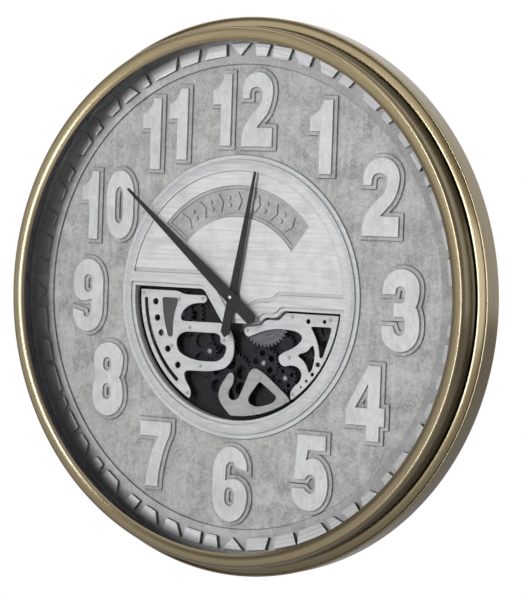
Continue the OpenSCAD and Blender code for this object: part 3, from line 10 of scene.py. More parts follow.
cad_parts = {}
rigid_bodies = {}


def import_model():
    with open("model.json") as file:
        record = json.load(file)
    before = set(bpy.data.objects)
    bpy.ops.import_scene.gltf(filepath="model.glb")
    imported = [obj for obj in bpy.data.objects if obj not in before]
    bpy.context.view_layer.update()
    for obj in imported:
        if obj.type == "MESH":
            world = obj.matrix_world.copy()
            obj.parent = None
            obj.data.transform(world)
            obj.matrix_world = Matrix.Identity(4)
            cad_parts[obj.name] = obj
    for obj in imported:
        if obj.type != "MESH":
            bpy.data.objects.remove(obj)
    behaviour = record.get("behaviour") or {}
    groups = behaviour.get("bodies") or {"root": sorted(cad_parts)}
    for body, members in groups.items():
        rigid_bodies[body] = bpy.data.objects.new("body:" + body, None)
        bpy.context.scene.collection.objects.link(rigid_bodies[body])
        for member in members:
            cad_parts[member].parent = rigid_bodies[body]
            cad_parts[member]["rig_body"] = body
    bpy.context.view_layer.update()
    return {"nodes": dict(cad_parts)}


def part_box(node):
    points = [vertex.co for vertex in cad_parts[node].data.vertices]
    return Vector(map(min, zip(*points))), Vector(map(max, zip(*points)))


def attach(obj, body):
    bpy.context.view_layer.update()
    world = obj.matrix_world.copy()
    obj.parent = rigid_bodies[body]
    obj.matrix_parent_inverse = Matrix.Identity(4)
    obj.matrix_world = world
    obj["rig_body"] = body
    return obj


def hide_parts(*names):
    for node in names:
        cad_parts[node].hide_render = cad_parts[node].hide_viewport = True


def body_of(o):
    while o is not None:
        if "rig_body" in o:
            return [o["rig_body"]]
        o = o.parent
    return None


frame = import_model()
nodes = frame["nodes"]
scene = bpy.context.scene

# The camera that the photograph's circles and numerals give, in degrees, metres and millimetres of lens
CAMERA_AZIMUTH = 32.908
CAMERA_ELEVATION = 1.981
CAMERA_ROLL = 1.973
CAMERA_DISTANCE = 2.579
CAMERA_AIM_RIGHT = 0.0247
CAMERA_AIM_UP = -0.0012
CAMERA_LENS = 165.53
SENSOR_WIDTH = 36
# Depth of the dial, at which the camera and the lamps aim
DIAL_Y = -0.031

# Sizes of the dial, the case and the bridges, taken from the frame
low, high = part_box("outer_ring")
RING_Y = low[1]
low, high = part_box("rear_band")
CASE_R = (high[0] - low[0]) / 2
BAND_BACK = -high[1]
low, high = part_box("front_bezel")
BEZEL_R = (high[0] - low[0]) / 2
CREST = -low[1]
BEZEL_BACK = -high[1]
low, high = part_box("dial_plate")
DIAL_FRONT = -low[1]
low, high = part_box("left_bridge")
BRIDGE_BACK = high[1]
BRIDGE_R = -low[0]

# Sizes of the pressed case, in metres: the sheet's thickness, the bezel's face, how far its inner edge
# lies below the crest, the lip that the back panel rests on, and the flange under the bezel
SHEET = 0.0015
BEZEL_W = 0.0155
LIP_DROP = 0.0029
PANEL_LIP_Z = 0.0105
PANEL_LIP_W = 5.5 * SHEET
FLANGE_W = 0.014
# Height at which the painted shade in the groove is darkest, and how far it reaches up the bezel's skirt
GROOVE_Z = DIAL_FRONT + 0.002
SKIRT_H = CREST - DIAL_FRONT - 0.007

# How finely the smooth case pieces are turned, in steps round the clock
TURN_STEPS = 720
# An edge between faces that meet at more than this angle stays sharp, in degrees
SHARP_ANGLE = 32
# Thickness of the plate behind the left bridge
BACKING = 0.0004

# Radius by which the edges of metal look rounded, in metres
SOFT_EDGE = 0.0003
# Rays for the rounded edges and for the grime in corners
BEVEL_SAMPLES = 4
CORNER_SAMPLES = 6

# Colours of the lamps: plain, and slightly cool for the highlights on the case
PLAIN = (1.0, 1.0, 1.0)
COOL = (0.78, 0.87, 1.0)
# Half the width of the floor in metres, and its depth below the clock as a share of the case's radius
FLOOR_SPAN = 12
FLOOR_DROP = 3.2


def aim_camera():
    """Puts the camera where the photograph was taken from."""
    azimuth = math.radians(CAMERA_AZIMUTH)
    elevation = math.radians(CAMERA_ELEVATION)
    roll = math.radians(CAMERA_ROLL)
    back = Vector((
        math.sin(azimuth) * math.cos(elevation),
        -math.cos(azimuth) * math.cos(elevation),
        math.sin(elevation),
    ))
    right = (-back).cross(Vector((0, 0, 1))).normalized()
    up = right.cross(-back)
    aim = Vector((0, DIAL_Y, 0)) + right * CAMERA_AIM_RIGHT + up * CAMERA_AIM_UP
    rolled_right = right * math.cos(roll) + up * math.sin(roll)
    rolled_up = up * math.cos(roll) - right * math.sin(roll)
    data = bpy.data.cameras.new("camera")
    data.sensor_fit = "HORIZONTAL"
    data.sensor_width = SENSOR_WIDTH
    data.lens = CAMERA_LENS
    camera = bpy.data.objects.new("camera", data)
    turn = Matrix((rolled_right, rolled_up, back)).transposed().to_4x4()
    camera.matrix_world = Matrix.Translation(aim + back * CAMERA_DISTANCE) @ turn
    scene.collection.objects.link(camera)
    scene.camera = camera


def paint(colour):
    """A hex colour or a grey level as linear red, green, blue and alpha."""
    if isinstance(colour, str):
        levels = [int(colour[i:i + 2], 16) / 255 for i in (1, 3, 5)]
        levels = [v / 12.92 if v <= 0.04045 else ((v + 0.055) / 1.055) ** 2.4 for v in levels]
        return (*levels, 1.0)
    return (colour, colour, colour, 1.0)


class NodeTree:
    """A tree of shader nodes, built up from small steps."""

    def __init__(self, tree):
        self.tree = tree
        self.tree.nodes.clear()

    def add(self, kind):
        """A new node, by the end of its type's name."""
        return self.tree.nodes.new(f"ShaderNode{kind}")

    def link(self, source, target):
        self.tree.links.new(source, target)

    def feed(self, socket, value):
        """Links an output to a socket, or sets the socket to a plain value."""
        if isinstance(value, bpy.types.NodeSocket):
            self.link(value, socket)
        else:
            socket.default_value = value

    def math(self, operation, *values):
        node = self.add("Math")
        node.operation = operation
        for socket, value in zip(node.inputs, values):
            self.feed(socket, value)
        return node.outputs[0]

    def split(self, vector):
        node = self.add("SeparateXYZ")
        self.link(vector, node.inputs[0])
        return node.outputs

    def ramp(self, value, *stops):
        """Maps a value to colours or greys, from pairs of position and colour."""
        node = self.add("ValToRGB")
        while len(node.color_ramp.elements) < len(stops):
            node.color_ramp.elements.new(0.5)
        for element, (position, colour) in zip(node.color_ramp.elements, stops):
            element.position = position
            element.color = paint(colour)
        self.link(value, node.inputs[0])
        return node.outputs[0]

    def spread(self, value, low_in, high_in, low_out, high_out):
        """Maps one range of a value to another."""
        node = self.add("MapRange")
        for socket, number in zip(node.inputs[1:5], (low_in, high_in, low_out, high_out)):
            socket.default_value = number
        self.link(value, node.inputs[0])
        return node.outputs[0]

    def between(self, share, a, b):
        """A level between two others."""
        node = self.add("Mix")
        for socket, value in ((node.inputs[0], share), (node.inputs[2], a), (node.inputs[3], b)):
            self.feed(socket, value)
        return node.outputs[0]

    def mixed(self, share, a, b):
        """One shader over another."""
        node = self.add("MixShader")
        for socket, value in zip(node.inputs, (share, a, b)):
            self.feed(socket, value)
        return node.outputs[0]


# Shader sockets that a material may set by itself
SOCKETS = {
    "specular_ior_level": "Specular IOR Level",
    "coat_weight": "Coat Weight",
    "coat_roughness": "Coat Roughness",
    "coat_ior": "Coat IOR",
}


class Look(NodeTree):
    """One procedural material."""

    def __init__(self, name):
        self.material = bpy.data.materials.new(name)
        self.material.use_nodes = True
        super().__init__(self.material.node_tree)
        self.output = self.add("OutputMaterial")
        self.shader = self.add("BsdfPrincipled")
        self.link(self.shader.outputs[0], self.output.inputs["Surface"])
        self.place = self.add("TexCoord").outputs["Object"]

    def join(self, x, y, z):
        node = self.add("CombineXYZ")
        for socket, value in zip(node.inputs, (x, y, z)):
            self.feed(socket, value)
        return node.outputs[0]

    def stretched(self, scale):
        """The place, scaled along X, Y and Z."""
        node = self.add("Mapping")
        node.vector_type = "POINT"
        node.inputs["Scale"].default_value = scale
        self.link(self.place, node.inputs["Vector"])
        return node.outputs[0]

    def round_place(self, turn_scale, radius_scale, centre=(0.0, 0.0)):
        """Coordinates that run round an axis along Y: the angle, the radius and the height."""
        x, y, z = self.split(self.place)
        x = self.math("SUBTRACT", x, centre[0])
        z = self.math("SUBTRACT", z, centre[1])
        angle = self.math("ARCTAN2", x, z)
        squares = self.math("ADD", self.math("MULTIPLY", x, x), self.math("MULTIPLY", z, z))
        radius = self.math("SQRT", squares)
        across = self.math("ADD", radius, y)
        along = self.math("SUBTRACT", radius, y)
        return self.join(
            self.math("MULTIPLY", self.math("SINE", self.math("MULTIPLY", angle, 0.5)), turn_scale),
            self.math("MULTIPLY", across, radius_scale),
            self.math("MULTIPLY", along, radius_scale),
        )

    def noise(self, vector, scale, detail, roughness):
        """Soft random levels about 0.5. The scale is in cells to a metre of the vector."""
        node = self.add("TexNoise")
        node.inputs["Scale"].default_value = scale
        node.inputs["Detail"].default_value = detail
        node.inputs["Roughness"].default_value = roughness
        self.link(vector, node.inputs["Vector"])
        return node.outputs[0]

    def blend(self, share, a, b):
        """One colour over another."""
        node = self.add("Mix")
        node.data_type = "RGBA"
        self.feed(node.inputs[0], share)
        self.feed(node.inputs[6], paint(a) if isinstance(a, str) else a)
        self.feed(node.inputs[7], paint(b) if isinstance(b, str) else b)
        return node.outputs[2]

    def hollow(self, reach):
        """From 0 deep in a corner to 1 in the open."""
        node = self.add("AmbientOcclusion")
        node.samples = CORNER_SAMPLES
        node.inputs["Distance"].default_value = reach
        return node.outputs["AO"]

    def relief(self, height, depth, strength, edge=0.0):
        """Bump from a height, over edges that look rounded by the given radius, also in the coat."""
        bump = self.add("Bump")
        bump.inputs["Distance"].default_value = depth
        bump.inputs["Strength"].default_value = strength
        self.link(height, bump.inputs["Height"])
        if edge:
            bevel = self.add("Bevel")
            bevel.samples = BEVEL_SAMPLES
            bevel.inputs["Radius"].default_value = edge
            self.link(bevel.outputs[0], bump.inputs["Normal"])
            self.link(bevel.outputs[0], self.shader.inputs["Coat Normal"])
        self.link(bump.outputs[0], self.shader.inputs["Normal"])

    def finish(self, colour, metallic, roughness, **extra):
        """Sets the shader and returns the material. A metallic share of None is linked already."""
        self.feed(self.shader.inputs["Base Color"], paint(colour) if isinstance(colour, str) else colour)
        if metallic is not None:
            self.shader.inputs["Metallic"].default_value = metallic
        self.feed(self.shader.inputs["Roughness"], roughness)
        for name, value in extra.items():
            self.shader.inputs[SOCKETS[name]].default_value = value
        return self.material


def wear(material, *members):
    """Gives these nodes one material."""
    for member in members:
        slots = nodes[member].data.materials
        slots.clear()
        slots.append(material)


def case_metal(name, skirt=0.0):
    """Champagne satin metal, its grain running round the case, with painted shade that darkens it towards the
    bottom and on a skirt of the given height.
    """
    look = Look(name)
    streaks = look.noise(look.round_place(9.0, 700.0), 1.0, 3.0, 0.65)
    broad = look.noise(look.round_place(2.5, 60.0), 1.0, 2.0, 0.5)
    colour = look.ramp(streaks, (0.3, "#746443"), (0.5, "#7e6e4b"), (0.72, "#8b7a56"))
    colour = look.blend(look.ramp(broad, (0.35, 0.0), (0.75, 0.45)), colour, "#766644")
    # Painted shade: the case's colour darkens towards the bottom.
    height = look.split(look.place)[2]
    low_painted_shade = look.spread(height, -CASE_R, 0.6 * CASE_R, 0.8, 0.0)
    colour = look.blend(low_painted_shade, colour, "#534529")
    if skirt:
        # Painted shade: the skirt darkens to near black towards the groove.
        depth = look.split(look.place)[1]
        painted_shade = look.spread(depth, -GROOVE_Z, -GROOVE_Z - skirt, 0.96, 0.0)
        colour = look.blend(painted_shade, colour, "#0b0906")
    grain = look.noise(look.round_place(60.0, 4000.0), 1.0, 1.0, 0.5)
    look.relief(grain, 0.00002, 0.05)
    return look.finish(colour, 0.85, look.spread(streaks, 0.2, 0.8, 0.25, 0.31),
                       coat_weight=0.55, coat_roughness=0.15, coat_ior=1.8)


def aged_grey(look, dark, middle, light):
    """Broad clouds, blotches, brush strokes and specks of grey patina."""
    broad = look.noise(look.place, 9.0, 2.0, 0.5)
    clouds = look.noise(look.place, 34.0, 6.0, 0.68)
    specks = look.noise(look.place, 240.0, 5.0, 0.75)
    fine = look.noise(look.place, 700.0, 3.0, 0.75)
    colour = look.ramp(clouds, (0.36, dark), (0.5, middle), (0.64, light))
    colour = look.blend(look.ramp(broad, (0.38, 0.0), (0.62, 0.5)), colour, middle)
    colour = look.blend(look.ramp(specks, (0.5, 0.0), (0.7, 0.75)), colour, light)
    colour = look.blend(look.ramp(specks, (0.3, 0.7), (0.48, 0.0)), colour, dark)
    colour = look.blend(look.ramp(fine, (0.34, 0.6), (0.5, 0.0)), colour, dark)
    colour = look.blend(look.ramp(fine, (0.5, 0.0), (0.66, 0.6)), colour, light)
    return colour, specks, fine


def painted_corner_shade(look, colour, reach, depth=0.55, painted_shade="#26262a"):
    """Darkens a colour in the corners as painted shade, by ambient occlusion."""
    open_share = look.ramp(look.hollow(reach), (0.4, 1.0), (0.85, 0.0))
    share = look.math("MULTIPLY", open_share, depth)
    return look.blend(share, colour, painted_shade)


def dial_metal():
    """The dial plate: aged metal with upright brush strokes and painted shade in its corners."""
    look = Look("dial_metal")
    colour, specks, fine = aged_grey(look, "#7c7b7a", "#9f9f9e", "#b9b9b8")
    strokes = look.noise(look.stretched((60.0, 60.0, 9.0)), 3.0, 3.0, 0.6)
    colour = look.blend(look.ramp(strokes, (0.5, 0.0), (0.75, 0.5)), colour, "#bcbcbb")
    # Painted shade: broad in the corners, and thin dark lines at the feet of raised parts
    colour = painted_corner_shade(look, colour, 0.005)
    colour = painted_corner_shade(look, colour, 0.0016, 0.75)
    look.relief(specks, 0.0006, 0.3)
    return look.finish(colour, 0.1, look.spread(fine, 0.3, 0.7, 0.5, 0.65), specular_ior_level=0.3)


def ring_metal():
    """The outer ring: aged between the lugs, brushed on top of them."""
    look = Look("ring_metal")
    colour, specks, fine = aged_grey(look, "#6a6a6a", "#808080", "#969696")
    streaks = look.noise(look.round_place(12.0, 500.0), 1.0, 3.0, 0.6)
    top = look.ramp(streaks, (0.3, "#7b7b7c"), (0.7, "#979798"))
    height = look.split(look.place)[1]
    share = look.spread(height, RING_Y + 0.0006, RING_Y + 0.0001, 0.0, 1.0)
    # Painted shade in the corners of the aged floor between the lugs
    colour = look.blend(share, painted_corner_shade(look, colour, 0.004, 0.3), top)
    look.relief(streaks, 0.0004, 0.3, edge=SOFT_EDGE)
    look.feed(look.shader.inputs["Metallic"], look.math("MULTIPLY_ADD", share, 0.45, 0.1))
    return look.finish(colour, None, look.spread(fine, 0.3, 0.7, 0.42, 0.55), specular_ior_level=0.3)


def boss_metal():
    """The centre boss: level brush strokes under faint clouds."""
    look = Look("boss_metal")
    streaks = look.noise(look.stretched((20.0, 400.0, 400.0)), 1.0, 4.0, 0.65)
    clouds = look.noise(look.place, 18.0, 4.0, 0.6)
    colour = look.ramp(streaks, (0.3, "#b0b2b3"), (0.7, "#cdcfd0"))
    colour = look.blend(look.ramp(clouds, (0.4, 0.0), (0.75, 0.4)), colour, "#aaacad")
    # Painted shade in the corners
    colour = painted_corner_shade(look, colour, 0.005)
    look.relief(streaks, 0.0004, 0.25, edge=0.0005)
    return look.finish(colour, 0.12, look.spread(streaks, 0.3, 0.7, 0.46, 0.6), specular_ior_level=0.3)


def brushed(name, dark, light, grain, worn="#9d9fa0", metallic=0.12):
    """Straight brushed metal. The grain is the scale along X, Y and Z."""
    look = Look(name)
    streaks = look.noise(look.stretched(grain), 1.0, 4.0, 0.65)
    clouds = look.noise(look.place, 40.0, 4.0, 0.6)
    specks = look.noise(look.place, 420.0, 4.0, 0.75)
    colour = look.ramp(streaks, (0.28, dark), (0.72, light))
    colour = look.blend(look.ramp(clouds, (0.46, 0.0), (0.72, 0.45)), colour, worn)
    colour = look.blend(look.ramp(specks, (0.5, 0.0), (0.75, 0.4)), colour, worn)
    # Painted shade in the corners
    colour = painted_corner_shade(look, colour, 0.003, 0.4)
    look.relief(streaks, 0.0004, 0.25, edge=SOFT_EDGE)
    return look.finish(colour, metallic, look.spread(streaks, 0.3, 0.7, 0.42, 0.56), specular_ior_level=0.3)


def aged(name, dark, middle, light):
    """Metal with grey patina, and painted shade at its foot."""
    look = Look(name)
    colour, specks, fine = aged_grey(look, dark, middle, light)
    # Painted shade at the foot and in the corners
    colour = painted_corner_shade(look, colour, 0.0016, 0.8)
    look.relief(specks, 0.0005, 0.3, edge=SOFT_EDGE)
    return look.finish(colour, 0.1, look.spread(fine, 0.3, 0.7, 0.5, 0.62), specular_ior_level=0.3)


def gear_metal(name, dark, light, centre):
    """Oiled steel, turned on a lathe round its own centre."""
    look = Look(name)
    rings = look.noise(look.round_place(1.5, 900.0, centre), 1.0, 3.0, 0.6)
    smears = look.noise(look.place, 70.0, 4.0, 0.6)
    colour = look.ramp(rings, (0.3, dark), (0.72, light))
    colour = look.blend(look.ramp(smears, (0.42, 0.0), (0.75, 0.6)), colour, dark)
    look.relief(rings, 0.0003, 0.3, edge=0.0002)
    return look.finish(colour, 0.8, look.spread(smears, 0.3, 0.7, 0.3, 0.5))


def satin_paint(name, dark, light, roughness=0.45, metallic=0.0, **extra):
    """Paint or moulded plastic with a fine grain and faint clouds."""
    look = Look(name)
    grain = look.noise(look.place, 1500.0, 2.0, 0.6)
    clouds = look.noise(look.place, 60.0, 3.0, 0.6)
    colour = look.ramp(clouds, (0.35, dark), (0.7, light))
    look.relief(grain, 0.0002, 0.25, edge=SOFT_EDGE)
    dull = look.spread(grain, 0.3, 0.7, roughness - 0.05, roughness + 0.08)
    return look.finish(colour, metallic, dull, **extra)


def clear_glass():
    """Thin glass that lets light straight through and keeps a faint gloss."""
    look = Look("clear_glass")
    look.tree.nodes.remove(look.shader)
    through = look.add("BsdfTransparent")
    gloss = look.add("BsdfGlossy")
    gloss.inputs["Roughness"].default_value = 0.02
    fresnel = look.add("Fresnel")
    fresnel.inputs["IOR"].default_value = 1.3
    smears = look.noise(look.place, 9.0, 3.0, 0.6)
    share = look.math("MULTIPLY", fresnel.outputs[0], look.spread(smears, 0.3, 0.7, 0.1, 0.16))
    look.link(look.mixed(share, through.outputs[0], gloss.outputs[0]), look.output.inputs["Surface"])
    return look.material


def turned(name, node, profile, metal):
    """A smooth body of revolution in place of a node, from a closed profile of radius and height."""
    count = len(profile)
    verts = []
    for i in range(TURN_STEPS):
        turn = 2 * math.pi * i / TURN_STEPS
        verts += [(r * math.cos(turn), -z, r * math.sin(turn)) for r, z in profile]
    faces = []
    for i in range(TURN_STEPS):
        here = count * i
        after = count * ((i + 1) % TURN_STEPS)
        for j in range(count):
            k = (j + 1) % count
            faces.append((here + j, here + k, after + k, after + j))
    mesh = bpy.data.meshes.new(name)
    mesh.from_pydata(verts, [], faces)
    body = bmesh.new()
    body.from_mesh(mesh)
    bmesh.ops.recalc_face_normals(body, faces=body.faces)
    body.to_mesh(mesh)
    body.free()
    mesh.shade_smooth()
    mesh.set_sharp_from_angle(angle=math.radians(SHARP_ANGLE))
    mesh.materials.append(metal)
    piece = bpy.data.objects.new(name, mesh)
    scene.collection.objects.link(piece)
    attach(piece, body_of(nodes[node])[0])
    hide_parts(node)
    return piece


def arc(centre, radius, start, end, steps):
    """Points of an arc, between two angles in degrees."""
    angles = [math.radians(start + (end - start) * i / steps) for i in range(steps + 1)]
    return [(centre[0] + radius * math.cos(a), centre[1] + radius * math.sin(a)) for a in angles]


def bezel_shell(metal):
    """The rolled bezel: straight skirt, round crest and a crown that falls away to the opening.

    The profile starts at the skirt's foot inside the band, goes over the crest and back underneath.
    """
    skirt_in = BEZEL_R - SHEET
    opening = BEZEL_R - BEZEL_W
    roll = 2.7 * SHEET
    crown_w = BEZEL_R - roll - opening
    lip_fall = LIP_DROP + 0.1 * SHEET
    lip_back = CREST - LIP_DROP - 0.8 * SHEET
    crown_steps = 14
    crown_power = 2.6
    shares = [i / crown_steps for i in range(1, crown_steps + 1)]
    profile = [(skirt_in, BEZEL_BACK), (BEZEL_R, BEZEL_BACK)]
    profile += arc((BEZEL_R - roll, CREST - roll), roll, 0, 90, 16)
    profile += [(BEZEL_R - roll - crown_w * u, CREST - lip_fall * u ** crown_power) for u in shares]
    profile += [(opening, lip_back + 0.4 * SHEET), (opening + 0.5 * SHEET, lip_back),
                (skirt_in - 0.7 * SHEET, lip_back), (skirt_in, lip_back - 0.7 * SHEET)]
    return turned("bezel_shell", "front_bezel", profile, metal)


def band_shell(metal):
    """The rear band: a straight side, a bead on its edge, a groove and a shoulder up to the bezel.

    The profile starts at the back, goes up the side and over the shoulder, and comes back inside
    along the flange and the lip for the back panel. Slopes are in degrees.
    """
    bead = SHEET
    foot = (CASE_R - 2 * bead, DIAL_FRONT - 1.3 * bead)
    top_r = BEZEL_R + 1.05 * bead
    top_slope = 14
    foot_slope = 40
    foot_across = math.sin(math.radians(foot_slope))
    foot_along = math.cos(math.radians(foot_slope))
    bend_r = (foot[0] - top_r) / (foot_across - math.sin(math.radians(top_slope)))
    centre = (foot[0] - bend_r * foot_across, foot[1] - bend_r * foot_along)
    shoulder = arc(centre, bend_r, 90 - foot_slope, 90 - top_slope, 12)
    top_z = shoulder[-1][1]
    groove_z = DIAL_FRONT - 2.1 * bead
    inner = CASE_R - SHEET
    wall = BEZEL_R + 0.75 * SHEET
    flange = BEZEL_R - FLANGE_W
    profile = [(inner, BAND_BACK), (CASE_R, BAND_BACK)]
    profile += arc((CASE_R - 0.8 * bead, DIAL_FRONT - 1.5 * bead), 0.8 * bead, 0, 165, 14)
    profile += [(CASE_R - 1.65 * bead, groove_z), (CASE_R - 1.85 * bead, groove_z)]
    profile += shoulder
    profile += [(top_r - 0.2 * bead, top_z - 0.1 * bead), (wall, top_z - 0.5 * bead),
                (wall, BEZEL_BACK), (flange, BEZEL_BACK),
                (flange, BEZEL_BACK - SHEET), (inner, BEZEL_BACK - SHEET),
                (inner, PANEL_LIP_Z + SHEET), (inner - PANEL_LIP_W, PANEL_LIP_Z + SHEET),
                (inner - PANEL_LIP_W, PANEL_LIP_Z), (inner, PANEL_LIP_Z)]
    return turned("band_shell", "rear_band", profile, metal)


def cut_backing(material):
    """The thin grey plate behind the tall cut in the left bridge, in shares of the bridge's radius."""
    shares = [(-0.8, -0.015), (-0.776, -0.22), (-0.722, -0.388), (-0.642, -0.388),
              (-0.636, -0.2), (-0.594, -0.07), (-0.594, -0.015)]
    rim = [(x * BRIDGE_R, z * BRIDGE_R) for x, z in shares]
    count = len(rim)
    mesh = bpy.data.meshes.new("left_bridge_backing")
    body = bmesh.new()
    front = [body.verts.new((x, BRIDGE_BACK, z)) for x, z in rim]
    back = [body.verts.new((x, BRIDGE_BACK + BACKING, z)) for x, z in rim]
    body.faces.new(front)
    body.faces.new(back[::-1])
    for i in range(count):
        k = (i + 1) % count
        body.faces.new((front[i], back[i], back[k], front[k]))
    bmesh.ops.recalc_face_normals(body, faces=body.faces)
    body.to_mesh(mesh)
    body.free()
    mesh.materials.append(material)
    piece = bpy.data.objects.new("left_bridge_backing", mesh)
    scene.collection.objects.link(piece)
    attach(piece, body_of(nodes["left_bridge"])[0])
    return piece


def middle_of(node):
    """The X and Z of the middle of a node, which is a wheel's axis."""
    low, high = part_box(node)
    return ((low[0] + high[0]) / 2, (low[2] + high[2]) / 2)


def dress():
    """Gives every node that the frame brings its material."""
    wear(clear_glass(), "front_glass")
    wear(satin_paint("dark_paint", "#6b6870", "#7c7981"), "spacer_ring", "bush_spacer")
    wear(satin_paint("rubber", "#0d0d0d", "#171717", 0.6), "glass_gasket", "wall_bumpers")
    wear(dial_metal(), "dial_plate")
    wear(ring_metal(), "outer_ring")
    wear(boss_metal(), "centre_boss")
    wear(brushed("inlay_metal", "#bbbdbe", "#d7d8d8", (14.0, 300.0, 420.0)), "centre_inlay")
    wear(aged("plaque_metal", "#888889", "#9f9f9f", "#b4b4b4"), "plaque")
    wear(aged("base_metal", "#828283", "#9e9e9e", "#b6b6b6"), "numeral_bases")
    wear(brushed("face_metal", "#b9babb", "#cfd0d0", (260.0, 300.0, 90.0)), "numeral_faces")
    wear(brushed("bridge_metal", "#b3b4b6", "#cacbcc", (30.0, 300.0, 260.0)), "left_bridge", "right_bridge")
    wear(brushed("lower_bridge_metal", "#8f8f8d", "#a7a7a5", (40.0, 300.0, 260.0)), "lower_bridge")
    wear(satin_paint("post_paint", "#2c2c2e", "#3d3d40", 0.4, 0.5), "bridge_posts", "plate_pillars")
    wear(brushed("screw_metal", "#8d8e90", "#b4b5b7", (400.0, 400.0, 400.0)), "bridge_screws", "plate_screws",
         "motor_screws", "dial_screws", "panel_screw_set", "hanger_screws", "gear_pins")
    wear(brushed("arbor_metal", "#e9e8e2", "#f7f5ef", (400.0, 400.0, 400.0), "#d8d6cf", 0.3), "minute_arbor")
    wear(satin_paint("works_paint", "#111113", "#1c1b1f", 0.6, specular_ior_level=0.3), "gear_plate")
    wear(brushed("cap_metal", "#55555a", "#8c8c91", (400.0, 400.0, 400.0), "#3c3c40", 0.9), "pin_caps")
    for node in ("motor_pinion", "round_idler", "lower_wheel", "small_idler", "right_wheel"):
        wear(gear_metal(f"{node}_metal", "#1b1a1e", "#3c3a41", middle_of(node)), node)
    for gear in ("left", "third"):
        pinion = f"{gear}_pinion"
        metal = gear_metal(f"{gear}_gear_metal", "#1e1d21", "#403e45", middle_of(pinion))
        wear(metal, f"{gear}_wheel", pinion)
    wear(gear_metal("fourth_gear_metal", "#55565a", "#7b7c80", middle_of("fourth_wheel")), "fourth_wheel")
    wear(gear_metal("main_gear_metal", "#55565a", "#85868a", middle_of("main_wheel")), "main_wheel")
    wear(brushed("motor_metal", "#8c8d8f", "#a9aaac", (300.0, 40.0, 300.0)), "gear_motor")
    wear(satin_paint("moulded_black", "#131314", "#1c1c1e", 0.5), "movement_case", "battery_box",
         "battery_lid", "switch_body")
    wear(satin_paint("cell_wrap", "#a87a22", "#c18d2c", 0.35), "movement_cell", "battery_cells")
    wear(satin_paint("ivory_plastic", "#d9d4c4", "#e6e1d2", 0.4), "set_knob")
    wear(brushed("bush_metal", "#a2894c", "#c9ae68", (300.0, 60.0, 300.0), "#8a7440", 1.0), "threaded_bush",
         "hour_tube")
    wear(brushed("nut_metal", "#58585b", "#77777a", (300.0, 300.0, 300.0)), "fixing_nut")
    wear(satin_paint("hand_paint", "#1b1b1f", "#242428", 0.55, specular_ior_level=0.3), "hour_hand",
         "minute_hand")
    wear(satin_paint("panel_board", "#2c2a28", "#3a3835", 0.7), "back_panel")
    wear(satin_paint("switch_plastic", "#a9a9a9", "#bdbdbd", 0.4), "switch_slider")
    wear(brushed("hanger_metal", "#8f9092", "#b1b2b4", (60.0, 300.0, 300.0)), "hanger_plate")


def lamp(name, place, width, height, power, colour=PLAIN):
    """A soft lamp that faces the clock."""
    data = bpy.data.lights.new(name, "AREA")
    data.shape = "RECTANGLE"
    data.size = width
    data.size_y = height
    data.energy = power
    data.color = colour
    light = bpy.data.objects.new(name, data)
    light.location = place
    way = Vector((0, DIAL_Y, 0)) - Vector(place)
    light.rotation_euler = way.to_track_quat("-Z", "Y").to_euler()
    scene.collection.objects.link(light)
    return light


def light_only(light, members, state):
    """Keeps a lamp to some pieces with INCLUDE, or off them with EXCLUDE."""
    group = bpy.data.collections.new(f"{light.name}_{state.lower()}")
    for member in members:
        group.objects.link(member)
    light.light_linking.receiver_collection = group
    for entry in group.collection_objects:
        entry.light_linking.link_state = state


def light_pieces(bezel, band):
    """Soft lamps, each kept to some pieces, because no single set gives the photograph's light."""
    ring = nodes["outer_ring"]
    case = [bezel, band]
    # Each lamp's name, place, width, height, power and colour
    for members, state, row in (
        ([ring, bezel, band], "EXCLUDE", ("front_key", (-0.12, -2.75, 0.75), 0.5, 2.4, 66)),
        ([bezel], "INCLUDE", ("crest_key", (-0.6, -2.75, 0.0), 0.38, 1.8, 50, COOL)),
        ([bezel], "INCLUDE", ("left_crest_key", (-0.25, -2.75, 0.0), 0.5, 1.8, 5, COOL)),
        (case, "INCLUDE", ("left_box", (-1.7, -1.9, -0.7), 1.4, 2.0, 7)),
        ([ring], "INCLUDE", ("side_key", (-2.05, -1.8, 0.1), 0.95, 1.8, 112)),
        ([band], "INCLUDE", ("right_strip", (2.5, -0.9, 0.3), 0.5, 1.6, 28)),
        ([band], "INCLUDE", ("right_box", (1.8, -2.5, 0.2), 1.6, 1.6, 20)),
        ([band], "INCLUDE", ("shoulder_key", (-0.12, -2.75, 0.0), 0.5, 2.4, 96, COOL)),
        ([band], "INCLUDE", ("shoulder_strip", (0.5, -2.75, 0.0), 0.35, 1.8, 33, COOL)),
        (case, "INCLUDE", ("upper_box", (-0.58, -1.6, 1.8), 3.0, 1.6, 22)),
    ):
        light_only(lamp(*row), members, state)


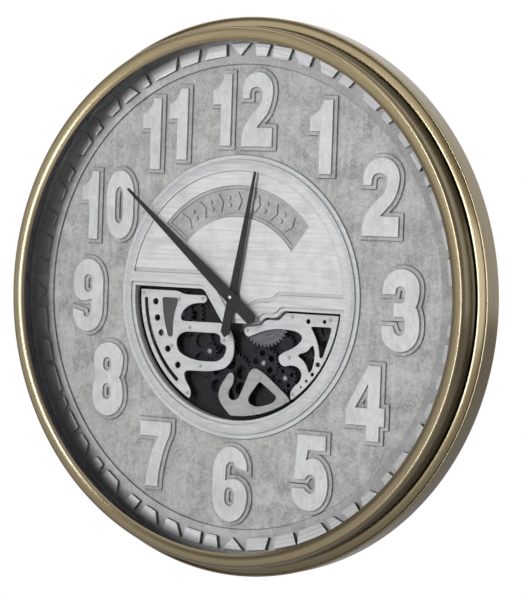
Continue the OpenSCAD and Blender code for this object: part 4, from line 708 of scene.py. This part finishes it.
def light_room():
    """White to the camera, and a level by direction for the rest.

    Metal mirrors white behind the clock and a dimmer room in front of it.
    """
    world = bpy.data.worlds.new("studio")
    world.use_nodes = True
    scene.world = world
    room = NodeTree(world.node_tree)
    path = room.add("LightPath").outputs
    direction = room.split(room.add("TexCoord").outputs["Generated"])
    away = direction["Y"]
    # From 0, straight down, to 1, straight up
    height = room.spread(direction["Z"], -1.0, 1.0, 0.0, 1.0)
    front = room.ramp(height, (0.1, 0.2), (0.25, 0.8), (0.75, 0.27))
    mirrored = room.between(room.spread(away, -0.3, 0.3, 0.0, 1.0), front, 1.0)
    soft = room.spread(away, -1.0, 1.0, 0.1, 0.7)
    dim = room.add("Background")
    room.link(room.between(path["Is Glossy Ray"], soft, mirrored), dim.inputs["Strength"])
    dim.inputs["Color"].default_value = paint(1.0)
    white = room.add("Background")
    white.inputs["Color"].default_value = paint(1.0)
    seen = room.math("MAXIMUM", path["Is Camera Ray"], path["Is Transmission Ray"])
    output = room.add("OutputWorld")
    room.link(room.mixed(seen, dim.outputs[0], white.outputs[0]), output.inputs["Surface"])
    scene.view_settings.view_transform = "Standard"


def lay_floor():
    """A pale floor well below the clock, plain white to the camera."""
    corners = ((-1, -1), (1, -1), (1, 1), (-1, 1))
    verts = [(x * FLOOR_SPAN, y * FLOOR_SPAN, -FLOOR_DROP * CASE_R) for x, y in corners]
    mesh = bpy.data.meshes.new("floor")
    mesh.from_pydata(verts, [], [(0, 1, 2, 3)])
    floor = bpy.data.objects.new("floor", mesh)
    scene.collection.objects.link(floor)
    look = Look("pale_floor")
    grain = look.noise(look.place, 3.0, 2.0, 0.5)
    look.finish(look.ramp(grain, (0.3, 0.86), (0.7, 0.9)), 0.0, 0.9)
    glow = look.add("Emission").outputs[0]
    seen = look.add("LightPath").outputs["Is Camera Ray"]
    look.link(look.mixed(seen, look.shader.outputs[0], glow), look.output.inputs["Surface"])
    floor.data.materials.append(look.material)


aim_camera()
dress()
bezel_piece = bezel_shell(case_metal("bezel_metal", SKIRT_H))
band_piece = band_shell(case_metal("band_metal"))
cut_backing(satin_paint("backing_paint", "#38393b", "#454648", 0.5))
light_pieces(bezel_piece, band_piece)
light_room()
lay_floor()
